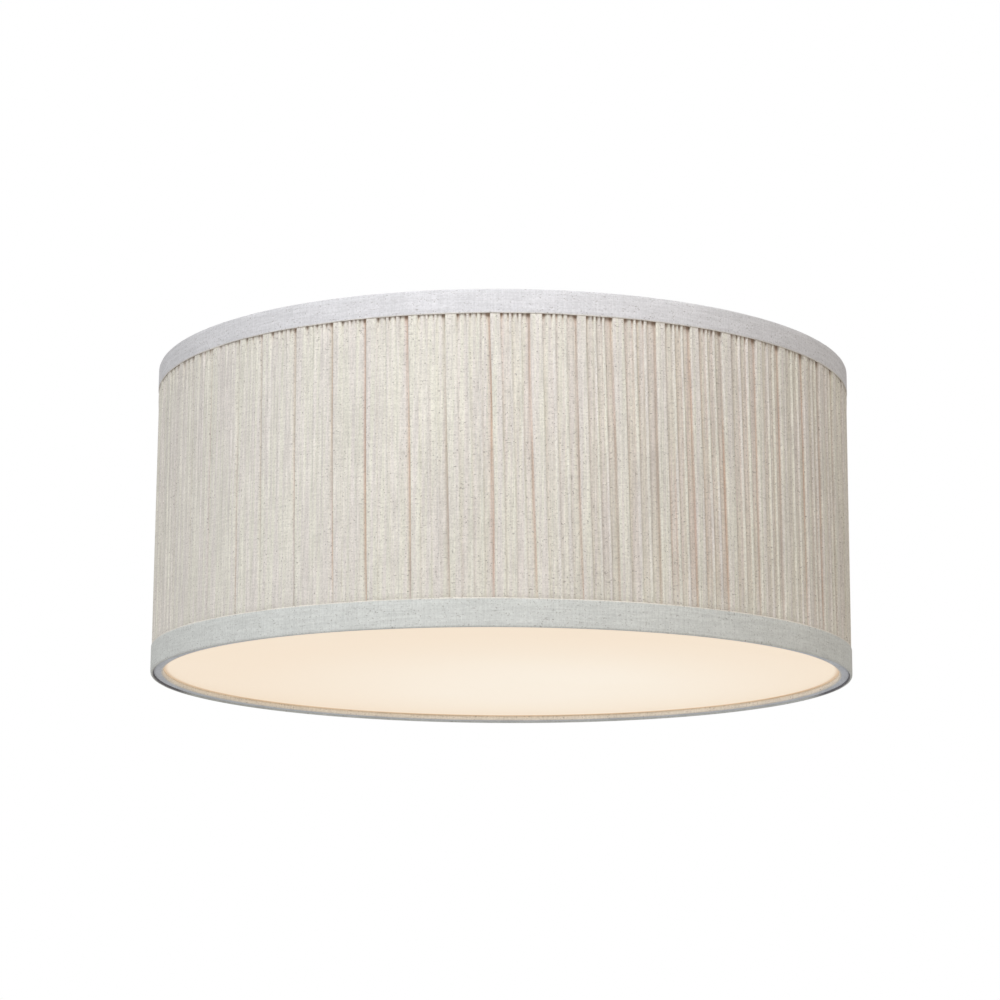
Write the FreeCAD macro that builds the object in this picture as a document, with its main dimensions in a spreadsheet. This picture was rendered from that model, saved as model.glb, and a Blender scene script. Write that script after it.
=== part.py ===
import FreeCAD, Part
import math
import os
import Sketcher
from FreeCAD import Placement, Rotation, Vector

# Flush mount ceiling light with a pleated drum shade. Millimetres, +Z up, origin at the middle of the
# ceiling plane, so the whole light hangs at negative z. The viewer stands at -Y and looks along +Y.

doc = FreeCAD.newDocument("CeilingLight")
sheet = doc.addObject("Spreadsheet::Sheet", "Dimensions")
SKETCH_ORIGIN = -1
START, END, CENTRE = range(1, 4)  # the Sketcher's numbers for the points of one edge
UP = Vector(0, 0, 1)
ALONG_Y = Vector(0, 1, 0)
NO_SHIFT = Vector(0, 0, 0)


class Size:
    """A length or angle: its number, and the expression over the sheet's cells that gives it."""

    def __init__(self, number, text):
        self.number = number
        self.text = text

    def joined(self, other, sign, number):
        return Size(number, f"({self.text} {sign} {as_size(other).text})")

    def __add__(self, other):
        return self.joined(other, "+", self.number + as_size(other).number)

    def __sub__(self, other):
        return self.joined(other, "-", self.number - as_size(other).number)

    def __mul__(self, other):
        return self.joined(other, "*", self.number * as_size(other).number)

    def __truediv__(self, other):
        return self.joined(other, "/", self.number / as_size(other).number)

    def __neg__(self):
        return Size(-self.number, f"(0 - {self.text})")


def as_size(value):
    return value if isinstance(value, Size) else Size(float(value), str(value))


def cell(alias, text):
    """A driving dimension: a plain number in the sheet, under its own name."""
    cell.row += 1
    address = f"B{cell.row}"
    sheet.set(f"A{cell.row}", alias)
    sheet.set(address, text)
    sheet.setAlias(address, alias)
    return Size(float(text), f"Dimensions.{alias}")


cell.row = 0

# The drum shade
shade_diameter = cell("shade_diameter", "406.4")  # over the trim, 16 inches
shade_height = cell("shade_height", "179.8")  # a little over 7 inches
ceiling_gap = cell("ceiling_gap", "3")
layer_gap = cell("layer_gap", "0.1")  # glue line between the layers of the shade
trim_thickness = cell("trim_thickness", "0.6")
top_trim_height = cell("top_trim_height", "13.2")
top_trim_return = cell("top_trim_return", "4")
bottom_trim_height = cell("bottom_trim_height", "15.4")
hem_width = cell("hem_width", "7.4")  # the turned-under edge, seen from below
hem_fold_drop = cell("hem_fold_drop", "1")  # how far the outer fold hangs below the rest of the hem
hem_fold_width = cell("hem_fold_width", "1.8")  # three layers of tape
trim_edge_round = cell("trim_edge_round", "0.55")
trim_lap_angle = cell("trim_lap_angle", "9")  # where the two ends of a trim lap
trim_lap_azimuth = cell("trim_lap_azimuth", "159")
trim_lap_thickness = cell("trim_lap_thickness", "0.5")
pleat_groups = cell("pleat_groups", "57")  # each a broad fold and two narrow ones
pleat_depth = cell("pleat_depth", "1.3")
pleat_lean = cell("pleat_lean", "1.6")  # how far a fold wanders sideways between its ends
cloth_thickness = cell("cloth_thickness", "0.5")
liner_thickness = cell("liner_thickness", "0.8")
top_wire_diameter = cell("top_wire_diameter", "4")
bottom_ring_sheet = cell("bottom_ring_sheet", "1.2")
bottom_ring_height = cell("bottom_ring_height", "13.5")
ledge_thickness = cell("ledge_thickness", "2")
diffuser_thickness = cell("diffuser_thickness", "2")
diffuser_clearance = cell("diffuser_clearance", "0.7")
diffuser_seat_gap = cell("diffuser_seat_gap", "0.3")

# The spider that carries the shade
fitter_inner_diameter = cell("fitter_inner_diameter", "202")
fitter_width = cell("fitter_width", "18")
fitter_sheet = cell("fitter_sheet", "1.5")
fitter_clearance = cell("fitter_clearance", "0.3")  # below the pan
arm_width = cell("arm_width", "12")
arm_sheet = cell("arm_sheet", "1.6")
arm_lap = cell("arm_lap", "15")  # the length that lies under the fitter ring
arm_rise_run = cell("arm_rise_run", "28")
arm_tip_length = cell("arm_tip_length", "13.4")  # the flat end under the top ring
arm_end_clearance = cell("arm_end_clearance", "0.4")
arm_azimuth = cell("arm_azimuth", "60")

# The bayonet studs
stud_azimuth = cell("stud_azimuth", "30")
stud_diameter = cell("stud_diameter", "4.8")
stud_head_diameter = cell("stud_head_diameter", "10")
stud_head_height = cell("stud_head_height", "2.4")
stud_seat_gap = cell("stud_seat_gap", "0.2")
stud_slot_clearance = cell("stud_slot_clearance", "0.3")
stud_entry_clearance = cell("stud_entry_clearance", "0.6")
stud_tail_diameter = cell("stud_tail_diameter", "8")
stud_tail_height = cell("stud_tail_height", "1.2")
twist_angle = cell("twist_angle", "15")
rivet_fit = cell("rivet_fit", "0.1")

# The ceiling pan and its hardware
pan_diameter = cell("pan_diameter", "304")
pan_flange_width = cell("pan_flange_width", "8")
pan_base_diameter = cell("pan_base_diameter", "276")
pan_depth = cell("pan_depth", "26")
pan_sheet = cell("pan_sheet", "1")
pan_bend_radius = cell("pan_bend_radius", "3")
cut_margin = cell("cut_margin", "1")  # how far a cutting section runs past the sheet
wire_hole_diameter = cell("wire_hole_diameter", "18")
bushing_bore_diameter = cell("bushing_bore_diameter", "13.2")
bushing_flange_diameter = cell("bushing_flange_diameter", "22.5")
bushing_flange_thickness = cell("bushing_flange_thickness", "1.2")
bushing_lip = cell("bushing_lip", "0.7")
bushing_height = cell("bushing_height", "5")
pad_inner_diameter = cell("pad_inner_diameter", "98")
pad_wall_gap = cell("pad_wall_gap", "3")  # between the pad's rim and the pan's wall
pad_thickness = cell("pad_thickness", "9.5")
pad_seat_gap = cell("pad_seat_gap", "0.3")
pad_hole_diameter = cell("pad_hole_diameter", "11")

# The strap on the outlet box, and the screws that pull the pan up to it
strap_length = cell("strap_length", "110")
strap_width = cell("strap_width", "20")
strap_sheet = cell("strap_sheet", "1.6")
strap_corner_radius = cell("strap_corner_radius", "4")
nipple_hole_diameter = cell("nipple_hole_diameter", "10.5")
box_screw_spacing = cell("box_screw_spacing", "88.9")  # 3.5 inch ears of an outlet box
box_slot_length = cell("box_slot_length", "18")
box_slot_width = cell("box_slot_width", "5.2")
pan_screw_spacing = cell("pan_screw_spacing", "54")
pan_screw_diameter = cell("pan_screw_diameter", "3.9")
pan_screw_head_diameter = cell("pan_screw_head_diameter", "8.4")
pan_screw_head_height = cell("pan_screw_head_height", "2.6")
pan_screw_inset = cell("pan_screw_inset", "0.2")
screw_fit = cell("screw_fit", "0.1")
keyhole_clearance = cell("keyhole_clearance", "0.5")
keyhole_entry_diameter = cell("keyhole_entry_diameter", "10.4")
keyhole_sweep = cell("keyhole_sweep", "24")
ground_screw_offset = cell("ground_screw_offset", "14")
ground_screw_diameter = cell("ground_screw_diameter", "3.9")
ground_head_diameter = cell("ground_head_diameter", "7.6")
ground_head_height = cell("ground_head_height", "2.4")
ground_post_radius = cell("ground_post_radius", "17.6")
ground_post_azimuth = cell("ground_post_azimuth", "12")
terminal_diameter = cell("terminal_diameter", "7.6")
terminal_sheet = cell("terminal_sheet", "0.8")
terminal_tail = cell("terminal_tail", "10.5")
terminal_barrel_diameter = cell("terminal_barrel_diameter", "3.8")
terminal_barrel_length = cell("terminal_barrel_length", "5")

# The three lampholders, each lying along a radius
lamp_count = 3
first_lamp_azimuth = cell("first_lamp_azimuth", "90")
lamp_level = cell("lamp_level", "72")  # the lamps' axes, below the ceiling
socket_back_radius = cell("socket_back_radius", "28")
bracket_sheet = cell("bracket_sheet", "1.2")
bracket_width = cell("bracket_width", "15")
bracket_foot_length = cell("bracket_foot_length", "20")
bracket_tail = cell("bracket_tail", "13")
bracket_bend_radius = cell("bracket_bend_radius", "1.1")
bracket_rivet_reach = cell("bracket_rivet_reach", "13")  # from the socket's back to the rivets
bracket_rivet_offset = cell("bracket_rivet_offset", "4.2")
rivet_diameter = cell("rivet_diameter", "3.1")
rivet_head_diameter = cell("rivet_head_diameter", "5.8")
rivet_head_height = cell("rivet_head_height", "1")
socket_diameter = cell("socket_diameter", "34")
socket_length = cell("socket_length", "36")
socket_floor = cell("socket_floor", "6")
socket_bore_diameter = cell("socket_bore_diameter", "28.4")
socket_edge_chamfer = cell("socket_edge_chamfer", "1.5")
socket_screw_diameter = cell("socket_screw_diameter", "3.9")
socket_screw_head_diameter = cell("socket_screw_head_diameter", "7")
socket_screw_head_height = cell("socket_screw_head_height", "2.2")
socket_screw_length = cell("socket_screw_length", "6")
shell_sheet = cell("shell_sheet", "0.4")
shell_clearance = cell("shell_clearance", "0.3")
shell_length = cell("shell_length", "26.5")
shell_hole_diameter = cell("shell_hole_diameter", "14")
shell_seat_gap = cell("shell_seat_gap", "0.2")
contact_width = cell("contact_width", "5")
contact_sheet = cell("contact_sheet", "0.6")
contact_reach = cell("contact_reach", "3")  # how far the tongue's end stands off the socket's floor
contact_half_height = cell("contact_half_height", "5.5")
lead_hole_diameter = cell("lead_hole_diameter", "3")
lead_hole_depth = cell("lead_hole_depth", "5")

# The lamps, medium screw base, frosted globe
lamp_contact_gap = cell("lamp_contact_gap", "0.3")
tip_button_diameter = cell("tip_button_diameter", "9.4")
tip_button_height = cell("tip_button_height", "1.5")
tip_cone_diameter = cell("tip_cone_diameter", "12.4")
tip_height = cell("tip_height", "4.5")
cap_diameter = cell("cap_diameter", "26.2")
cap_root_diameter = cell("cap_root_diameter", "24.7")
cap_length = cell("cap_length", "21.5")
cap_thread_pitch = cell("cap_thread_pitch", "3.629")  # 7 threads to the inch
cap_thread_count = 5
cap_thread_start = cell("cap_thread_start", "1.6")
collar_length = cell("collar_length", "32")
collar_neck_diameter = cell("collar_neck_diameter", "27")
collar_waist_diameter = cell("collar_waist_diameter", "40")
collar_mouth_diameter = cell("collar_mouth_diameter", "49.4")
collar_wall = cell("collar_wall", "1.5")
globe_diameter = cell("globe_diameter", "60")
globe_wall = cell("globe_wall", "1.5")

# The internal wiring
lead_diameter = cell("lead_diameter", "2.6")
lead_side_offset = cell("lead_side_offset", "9.5")
lead_insertion = cell("lead_insertion", "4.5")
lead_turn_radius = cell("lead_turn_radius", "17")  # where a lead leaves its socket and turns up
lead_gather_depth = cell("lead_gather_depth", "12")  # below the pan, where the leads come together
lead_gather_half_width = cell("lead_gather_half_width", "4")
lead_gather_side = cell("lead_gather_side", "2.3")
lead_gather_middle = cell("lead_gather_middle", "4.7")
lead_bend_radius = cell("lead_bend_radius", "25")
lead_pitch = cell("lead_pitch", "2.9")  # side by side in the wire connector
connector_distance = cell("connector_distance", "56")
connector_length = cell("connector_length", "22")
connector_mouth_diameter = cell("connector_mouth_diameter", "13")
connector_tip_diameter = cell("connector_tip_diameter", "8.6")
connector_bore_diameter = cell("connector_bore_diameter", "9.2")
connector_bore_depth = cell("connector_bore_depth", "10")
connector_seat_gap = cell("connector_seat_gap", "0.3")
lead_in_connector = cell("lead_in_connector", "9")
lead_straight_before = cell("lead_straight_before", "4")
ground_loop_reach = cell("ground_loop_reach", "30")
wire_fit = cell("wire_fit", "0.1")

doc.recompute()

# Levels and radii that several pieces share
shade_outer = shade_diameter / 2
shade_top = -ceiling_gap
shade_bottom = -(ceiling_gap + shade_height)
trim_inner = shade_outer - trim_thickness
pleat_crest = trim_inner - layer_gap
pleat_root = pleat_crest - pleat_depth
cover_back = pleat_root - cloth_thickness
liner_outer = cover_back - layer_gap
liner_inner = liner_outer - liner_thickness
layers_top = shade_top - trim_thickness - layer_gap
hem_level = shade_bottom + hem_fold_drop
layers_bottom = hem_level + trim_thickness + layer_gap
ring_outer = liner_inner - layer_gap
ring_inner = ring_outer - bottom_ring_sheet
hem_inner = shade_outer - hem_width
ledge_top = layers_bottom + ledge_thickness
top_wire_radius = top_wire_diameter / 2
top_wire_circle = liner_inner - layer_gap - top_wire_radius
top_wire_level = layers_top - top_wire_radius
fitter_inner = fitter_inner_diameter / 2
fitter_outer = fitter_inner + fitter_width
stud_circle_radius = fitter_inner + fitter_width / 2
pan_bottom = -pan_depth
pan_floor = pan_bottom + pan_sheet
fitter_top = pan_bottom - fitter_clearance
fitter_bottom = fitter_top - fitter_sheet
stud_radius = stud_diameter / 2
pad_bottom = pan_floor + pad_seat_gap
pad_top = pad_bottom + pad_thickness
lamp_axis = -lamp_level
bracket_rivet_radius = socket_back_radius + bracket_rivet_reach
socket_mouth = socket_back_radius + socket_length
socket_inside = socket_back_radius + socket_floor
shell_outer = socket_bore_diameter / 2 - shell_clearance
shell_inner = shell_outer - shell_sheet
shell_back = socket_inside + shell_seat_gap
lamp_tip = socket_inside + contact_reach + lamp_contact_gap
cap_start = lamp_tip + tip_height
cap_end = cap_start + cap_length
collar_end = cap_end + collar_length
lamp_azimuths = [first_lamp_azimuth + k * 360 / lamp_count for k in range(lamp_count)]
FULL_TURN = 360


def bind(thing, name, value):
    """Sets a property from a size and keeps it tied to the sheet."""
    value = as_size(value)
    thing.setExpression(name, value.text)


def new_body(label):
    body = doc.addObject("PartDesign::Body", label)
    body.Label = label
    return body


def plane_of(body, role):
    return next(f for f in body.Origin.OriginFeatures if f.Role == role)


def new_sketch(body, name, role="XZ_Plane"):
    sketch = body.newObject("Sketcher::SketchObject", name)
    sketch.AttachmentSupport = [(plane_of(body, role), "")]
    sketch.MapMode = "FlatFace"
    return sketch


def pin(sketch, geometry, point, x, y):
    """Ties one point of a sketch to its place."""
    for kind, value in (("DistanceX", as_size(x)), ("DistanceY", as_size(y))):
        index = sketch.addConstraint(
            Sketcher.Constraint(kind, SKETCH_ORIGIN, START, geometry, point, value.number)
        )
        sketch.setExpression(f"Constraints[{index}]", value.text)


def outline(sketch, corners):
    """A closed outline of straight lines through corners given as sizes."""
    places = [Vector(as_size(x).number, as_size(y).number, 0) for x, y in corners]
    first = sketch.GeometryCount
    count = len(corners)
    for k, place in enumerate(places):
        sketch.addGeometry(Part.LineSegment(place, places[(k + 1) % count]))
    for k in range(count):
        after = first + (k + 1) % count
        sketch.addConstraint(Sketcher.Constraint("Coincident", first + k, END, after, START))
    for k, (x, y) in enumerate(corners):
        pin(sketch, first + k, START, x, y)


def circle(sketch, x, y, radius):
    """A circle whose centre and radius are sizes."""
    radius = as_size(radius)
    middle = Vector(as_size(x).number, as_size(y).number, 0)
    index = sketch.addGeometry(Part.Circle(middle, UP, radius.number))
    pin(sketch, index, CENTRE, x, y)
    tie = sketch.addConstraint(Sketcher.Constraint("Radius", index, radius.number))
    sketch.setExpression(f"Constraints[{tie}]", radius.text)


def slot(sketch, x, width, length):
    """A straight slot along X, with round ends, its middle on the X axis at x."""
    end = as_size(width) / 2
    reach = (as_size(length) - width) / 2
    left, right = x - reach, x + reach
    base = sketch.GeometryCount
    turn = math.pi / 2
    for middle, start in ((right, -turn), (left, turn)):
        round_end = Part.Circle(Vector(middle.number, 0, 0), UP, end.number)
        sketch.addGeometry(Part.ArcOfCircle(round_end, start, start + math.pi))
    for side in (1, -1):
        a = Vector(right.number, side * end.number, 0)
        b = Vector(left.number, side * end.number, 0)
        sketch.addGeometry(Part.LineSegment(a, b))
    right_arc, left_arc, top, bottom = range(base, base + 4)
    for arc, arc_point, line, line_point in (
        (right_arc, END, top, START),
        (right_arc, START, bottom, START),
        (left_arc, START, top, END),
        (left_arc, END, bottom, END),
    ):
        sketch.addConstraint(Sketcher.Constraint("Tangent", arc, arc_point, line, line_point))
    pin(sketch, right_arc, CENTRE, right, 0)
    pin(sketch, left_arc, CENTRE, left, 0)
    tie = sketch.addConstraint(Sketcher.Constraint("Radius", right_arc, end.number))
    sketch.setExpression(f"Constraints[{tie}]", end.text)


def turned_feature(body, name, sketch, axis="V_Axis", angle=None, kind="Revolution"):
    """A Revolution or Groove of a sketch about one of its axes."""
    feature = body.newObject(f"PartDesign::{kind}", name)
    feature.Profile = sketch
    feature.ReferenceAxis = (sketch, [axis])
    feature.Angle = FULL_TURN
    if angle is not None:
        bind(feature, "Angle", angle)
    body.Tip = feature
    return feature


def padded_feature(body, name, sketch, length, reversed_=False, midplane=False):
    feature = body.newObject("PartDesign::Pad", name)
    feature.Profile = sketch
    bind(feature, "Length", length)
    feature.Reversed = reversed_
    feature.Midplane = midplane
    body.Tip = feature
    return feature


def hole_feature(body, name, sketch):
    """Cuts a sketch through the whole piece, both ways."""
    feature = body.newObject("PartDesign::Pocket", name)
    feature.Profile = sketch
    feature.Type = "ThroughAll"
    feature.Midplane = True
    body.Tip = feature
    return feature


def repeat_round(body, name, features, count):
    """Repeats features about the vertical axis of the body."""
    pattern = body.newObject("PartDesign::PolarPattern", name)
    pattern.Originals = features
    pattern.Axis = (plane_of(body, "Z_Axis"), [""])
    pattern.Angle = FULL_TURN
    pattern.Occurrences = count
    body.Tip = pattern
    return pattern


def round_circles(body, name, places, radius):
    """Rounds the circular edges at these places, each a radius about Z and a level."""
    doc.recompute()
    base = body.Tip
    wanted = [(as_size(r).number, as_size(z).number) for r, z in places]
    found = []
    for index, edge in enumerate(base.Shape.Edges):
        if edge.Curve.TypeId != "Part::GeomCircle":
            continue
        middle = edge.Curve.Center
        if math.hypot(middle.x, middle.y) > 0.001:
            continue
        for r, z in wanted:
            if abs(edge.Curve.Radius - r) < 0.001 and abs(middle.z - z) < 0.001:
                found.append(f"Edge{index + 1}")
    fillet = body.newObject("PartDesign::Fillet", name)
    fillet.Base = (base, sorted(set(found)))
    bind(fillet, "Radius", radius)
    body.Tip = fillet
    return fillet


def turn_to(thing, azimuth, level=None):
    """Turns a piece about the vertical axis to its azimuth, and sets its level."""
    thing.Placement = Placement(NO_SHIFT, Rotation(UP, as_size(azimuth).number))
    bind(thing, "Placement.Rotation.Angle", azimuth)
    if level is not None:
        bind(thing, "Placement.Base.z", level)


def revolved_body(label, corners):
    """A piece that is one outline of radius and level turned about the vertical axis."""
    body = new_body(label)
    sketch = new_sketch(body, f"{label}_outline")
    outline(sketch, corners)
    turned_feature(body, f"{label}_turned", sketch)
    return body


def radial_body(label, corners, azimuth):
    """A piece turned about a radius of the light: corners are distance from the middle, and radius."""
    body = new_body(label)
    sketch = new_sketch(body, f"{label}_outline")
    outline(sketch, corners)
    turned_feature(body, f"{label}_turned", sketch, axis="H_Axis")
    turn_to(body, azimuth, lamp_axis)
    return body


def upright_group(label, corners, circle_radius, count, azimuth):
    """Alike turned pieces with upright axes, standing in a ring. Corners are radius and level."""
    body = new_body(label)
    sketch = new_sketch(body, f"{label}_outline")
    outline(sketch, [(circle_radius + r, z) for r, z in corners])
    axis_end = pan_bottom  # the axis may have any length
    top, low = Vector(circle_radius.number, 0, 0), Vector(circle_radius.number, axis_end.number, 0)
    axis = sketch.addGeometry(Part.LineSegment(top, low), True)
    pin(sketch, axis, START, circle_radius, 0)
    pin(sketch, axis, END, circle_radius, axis_end)
    turned = turned_feature(body, f"{label}_turned", sketch, axis="Axis0")
    repeat_round(body, f"{label}_ring", [turned], count)
    turn_to(body, azimuth)
    return body


def cylinder(name, radius, height, x, y, z, rotation=None):
    """A cylinder standing on its base point, or turned by a rotation."""
    made = doc.addObject("Part::Cylinder", name)
    bind(made, "Radius", radius)
    bind(made, "Height", height)
    if rotation is not None:
        made.Placement = Placement(NO_SHIFT, rotation)
    for letter, value in (("x", x), ("y", y), ("z", z)):
        bind(made, f"Placement.Base.{letter}", value)
    return made


def polar(radius, azimuth, side=0):
    """The x and y of a point at a radius and azimuth, shifted sideways by side."""
    radius, azimuth, side = as_size(radius), as_size(azimuth), as_size(side)
    angle = math.radians(azimuth.number)
    across = Size(math.cos(angle), f"cos({azimuth.text})")
    up = Size(math.sin(angle), f"sin({azimuth.text})")
    return across * radius - up * side, up * radius + across * side


def fused(label, pieces):
    made = doc.addObject("Part::MultiFuse", label)
    made.Shapes = pieces
    made.Label = label
    return made


# ---------------------------------------------------------------- ceiling side


def make_mounting_strap():
    """The flat steel strap that is screwed to the outlet box."""
    body = new_body("mounting_strap")
    plate = new_sketch(body, "strap_outline", "XY_Plane")
    half_x, half_y = strap_length / 2, strap_width / 2
    outline(plate, [(-half_x, -half_y), (half_x, -half_y), (half_x, half_y), (-half_x, half_y)])
    base = padded_feature(body, "strap_plate", plate, strap_sheet, reversed_=True)
    doc.recompute()
    upright = [
        f"Edge{k + 1}"
        for k, edge in enumerate(base.Shape.Edges)
        if abs(edge.tangentAt(edge.FirstParameter).z) > 0.99
    ]
    corner = body.newObject("PartDesign::Fillet", "strap_corners")
    corner.Base = (base, upright)
    bind(corner, "Radius", strap_corner_radius)
    body.Tip = corner
    holes = new_sketch(body, "strap_holes", "XY_Plane")
    circle(holes, 0, 0, nipple_hole_diameter / 2)
    for side in (1, -1):
        slot(holes, box_screw_spacing * side / 2, box_slot_width, box_slot_length)
        circle(holes, pan_screw_spacing * side / 2, 0, pan_screw_diameter / 2 + screw_fit)
    circle(holes, ground_screw_offset, 0, ground_screw_diameter / 2 + screw_fit)
    hole_feature(body, "strap_cuts", holes)
    return body


def make_ceiling_pan():
    """The pressed steel pan: flange against the ceiling, sloping wall, flat base."""
    flange, base = pan_diameter / 2, pan_base_diameter / 2
    wall_top = flange - pan_flange_width
    hole = wire_hole_diameter / 2
    body = revolved_body(
        "ceiling_pan",
        [
            (hole, pan_bottom),
            (base, pan_bottom),
            (wall_top, -pan_sheet),
            (flange, -pan_sheet),
            (flange, 0),
            (wall_top - pan_sheet, 0),
            (base - pan_sheet, pan_floor),
            (hole, pan_floor),
        ],
    )
    round_circles(body, "outer_bends", [(base, pan_bottom), (wall_top - pan_sheet, 0)], pan_bend_radius)
    inner = [(wall_top, -pan_sheet), (base - pan_sheet, pan_floor)]
    round_circles(body, "inner_bends", inner, pan_bend_radius - pan_sheet)

    middle = pan_screw_spacing / 2
    half = pan_screw_diameter / 2 + keyhole_clearance
    cut = new_sketch(body, "keyhole_section")
    outline(
        cut,
        [
            (middle - half, pan_bottom - cut_margin),
            (middle + half, pan_bottom - cut_margin),
            (middle + half, pan_floor + cut_margin),
            (middle - half, pan_floor + cut_margin),
        ],
    )
    sweep = turned_feature(body, "keyhole_sweep_cut", cut, angle=keyhole_sweep, kind="Groove")
    ends = new_sketch(body, "keyhole_ends", "XY_Plane")
    circle(ends, middle, 0, half)
    entry_x, entry_y = polar(middle, keyhole_sweep)
    circle(ends, entry_x, entry_y, keyhole_entry_diameter / 2)
    openings = hole_feature(body, "keyhole_openings", ends)
    repeat_round(body, "keyholes", [sweep, openings], 2)

    studs = new_sketch(body, "stud_hole", "XY_Plane")
    stud_x, stud_y = polar(stud_circle_radius, stud_azimuth)
    circle(studs, stud_x, stud_y, stud_radius + rivet_fit)
    for side in (1, -1):
        x, y = polar(bracket_rivet_radius, first_lamp_azimuth, bracket_rivet_offset * side)
        circle(studs, x, y, rivet_diameter / 2 + rivet_fit)
    rivets = hole_feature(body, "rivet_holes", studs)
    repeat_round(body, "all_rivet_holes", [rivets], lamp_count)

    ground = new_sketch(body, "ground_hole", "XY_Plane")
    ground_x, ground_y = polar(ground_post_radius, ground_post_azimuth)
    circle(ground, ground_x, ground_y, rivet_diameter / 2 + rivet_fit)
    hole_feature(body, "ground_rivet_hole", ground)
    return body


def make_pan_screws():
    """Two long machine screws: heads under the pan, threads in the strap."""
    shank = pan_screw_diameter / 2
    head = pan_screw_head_diameter / 2
    low = pan_bottom - pan_screw_head_height
    top = -pan_screw_inset
    soft = pan_screw_head_height / 2
    corners = [(0, low), (head - soft / 2, low), (head, low + soft), (head, pan_bottom)]
    corners += [(shank, pan_bottom), (shank, top), (0, top)]
    return upright_group("pan_screws", corners, pan_screw_spacing / 2, 2, 0)


def make_wire_bushing():
    """The plastic bushing that lines the pan's wire hole."""
    bore = bushing_bore_diameter / 2
    barrel = wire_hole_diameter / 2 - rivet_fit
    flange = bushing_flange_diameter / 2
    low = pan_bottom - bushing_flange_thickness
    top = pan_bottom + bushing_height
    corners = [(bore, low), (flange, low), (flange, pan_bottom), (barrel, pan_bottom)]
    corners += [(barrel, pan_floor), (barrel + bushing_lip, pan_floor + bushing_lip)]
    corners += [(barrel, top), (bore, top)]
    return revolved_body("wire_bushing", corners)


def make_insulation_pad():
    """The ring of glass fibre that lies in the pan, with a hole over each stud's tail."""
    inner, outer = pad_inner_diameter / 2, pan_base_diameter / 2 - pan_sheet - pad_wall_gap
    corners = [(inner, pad_bottom), (outer, pad_bottom), (outer, pad_top), (inner, pad_top)]
    body = revolved_body("insulation_pad", corners)
    sketch = new_sketch(body, "stud_clearance", "XY_Plane")
    x, y = polar(stud_circle_radius, stud_azimuth)
    circle(sketch, x, y, pad_hole_diameter / 2)
    cut = hole_feature(body, "stud_clearance_hole", sketch)
    repeat_round(body, "stud_clearances", [cut], lamp_count)
    return body


def make_shade_studs():
    """Three shouldered studs, riveted through the pan, that the shade's keyholes hang on."""
    head_top = fitter_bottom - stud_seat_gap
    head_low = head_top - stud_head_height
    tail_top = pan_floor + stud_tail_height
    head, tail = stud_head_diameter / 2, stud_tail_diameter / 2
    soft = stud_head_height / 3
    corners = [(0, head_low), (head - soft, head_low), (head, head_low + soft), (head, head_top)]
    corners += [(stud_radius, head_top), (stud_radius, pan_floor), (tail, pan_floor)]
    corners += [(tail, tail_top - soft), (tail - soft, tail_top), (0, tail_top)]
    return upright_group("shade_studs", corners, stud_circle_radius, lamp_count, stud_azimuth)


def make_bracket_rivets():
    """Six rivets, two through each bracket's foot and the pan."""
    pieces = []
    foot_bottom = pan_bottom - bracket_sheet
    grip = bracket_sheet + pan_sheet
    for k, azimuth in enumerate(lamp_azimuths):
        for side in (1, -1):
            name = f"rivet_{k}_{'a' if side > 0 else 'b'}"
            x, y = polar(bracket_rivet_radius, azimuth, bracket_rivet_offset * side)
            head = rivet_head_diameter / 2
            low = foot_bottom - rivet_head_height
            pieces.append(cylinder(f"{name}_low", head, rivet_head_height, x, y, low))
            pieces.append(cylinder(f"{name}_shank", rivet_diameter / 2, grip, x, y, foot_bottom))
            pieces.append(cylinder(f"{name}_top", head, rivet_head_height, x, y, pan_floor))
    return fused("bracket_rivets", pieces)


def make_ground_screw():
    """The green screw under the strap, which holds the ring terminal against it."""
    radius = ground_screw_diameter / 2
    head = ground_head_diameter / 2
    seat = -(strap_sheet + terminal_sheet)
    low = seat - ground_head_height
    parts = [
        cylinder("ground_head", head, ground_head_height, ground_screw_offset, 0, low),
        cylinder("ground_shank", radius, -seat - pan_screw_inset, ground_screw_offset, 0, seat),
    ]
    return fused("ground_screw", parts)


def make_ground_rivet():
    """The rivet that ties the other ring terminal to the pan."""
    x, y = polar(ground_post_radius, ground_post_azimuth)
    head, shank = rivet_head_diameter / 2, rivet_diameter / 2
    top = pan_floor + terminal_sheet
    low = pan_bottom - rivet_head_height
    grip = pan_sheet + terminal_sheet
    parts = [
        cylinder("ground_rivet_low", head, rivet_head_height, x, y, low),
        cylinder("ground_rivet_shank", shank, grip, x, y, pan_bottom),
        cylinder("ground_rivet_top", head, rivet_head_height, x, y, top),
    ]
    return fused("ground_rivet", parts)


# ------------------------------------------------------------------ lampholders


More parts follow.
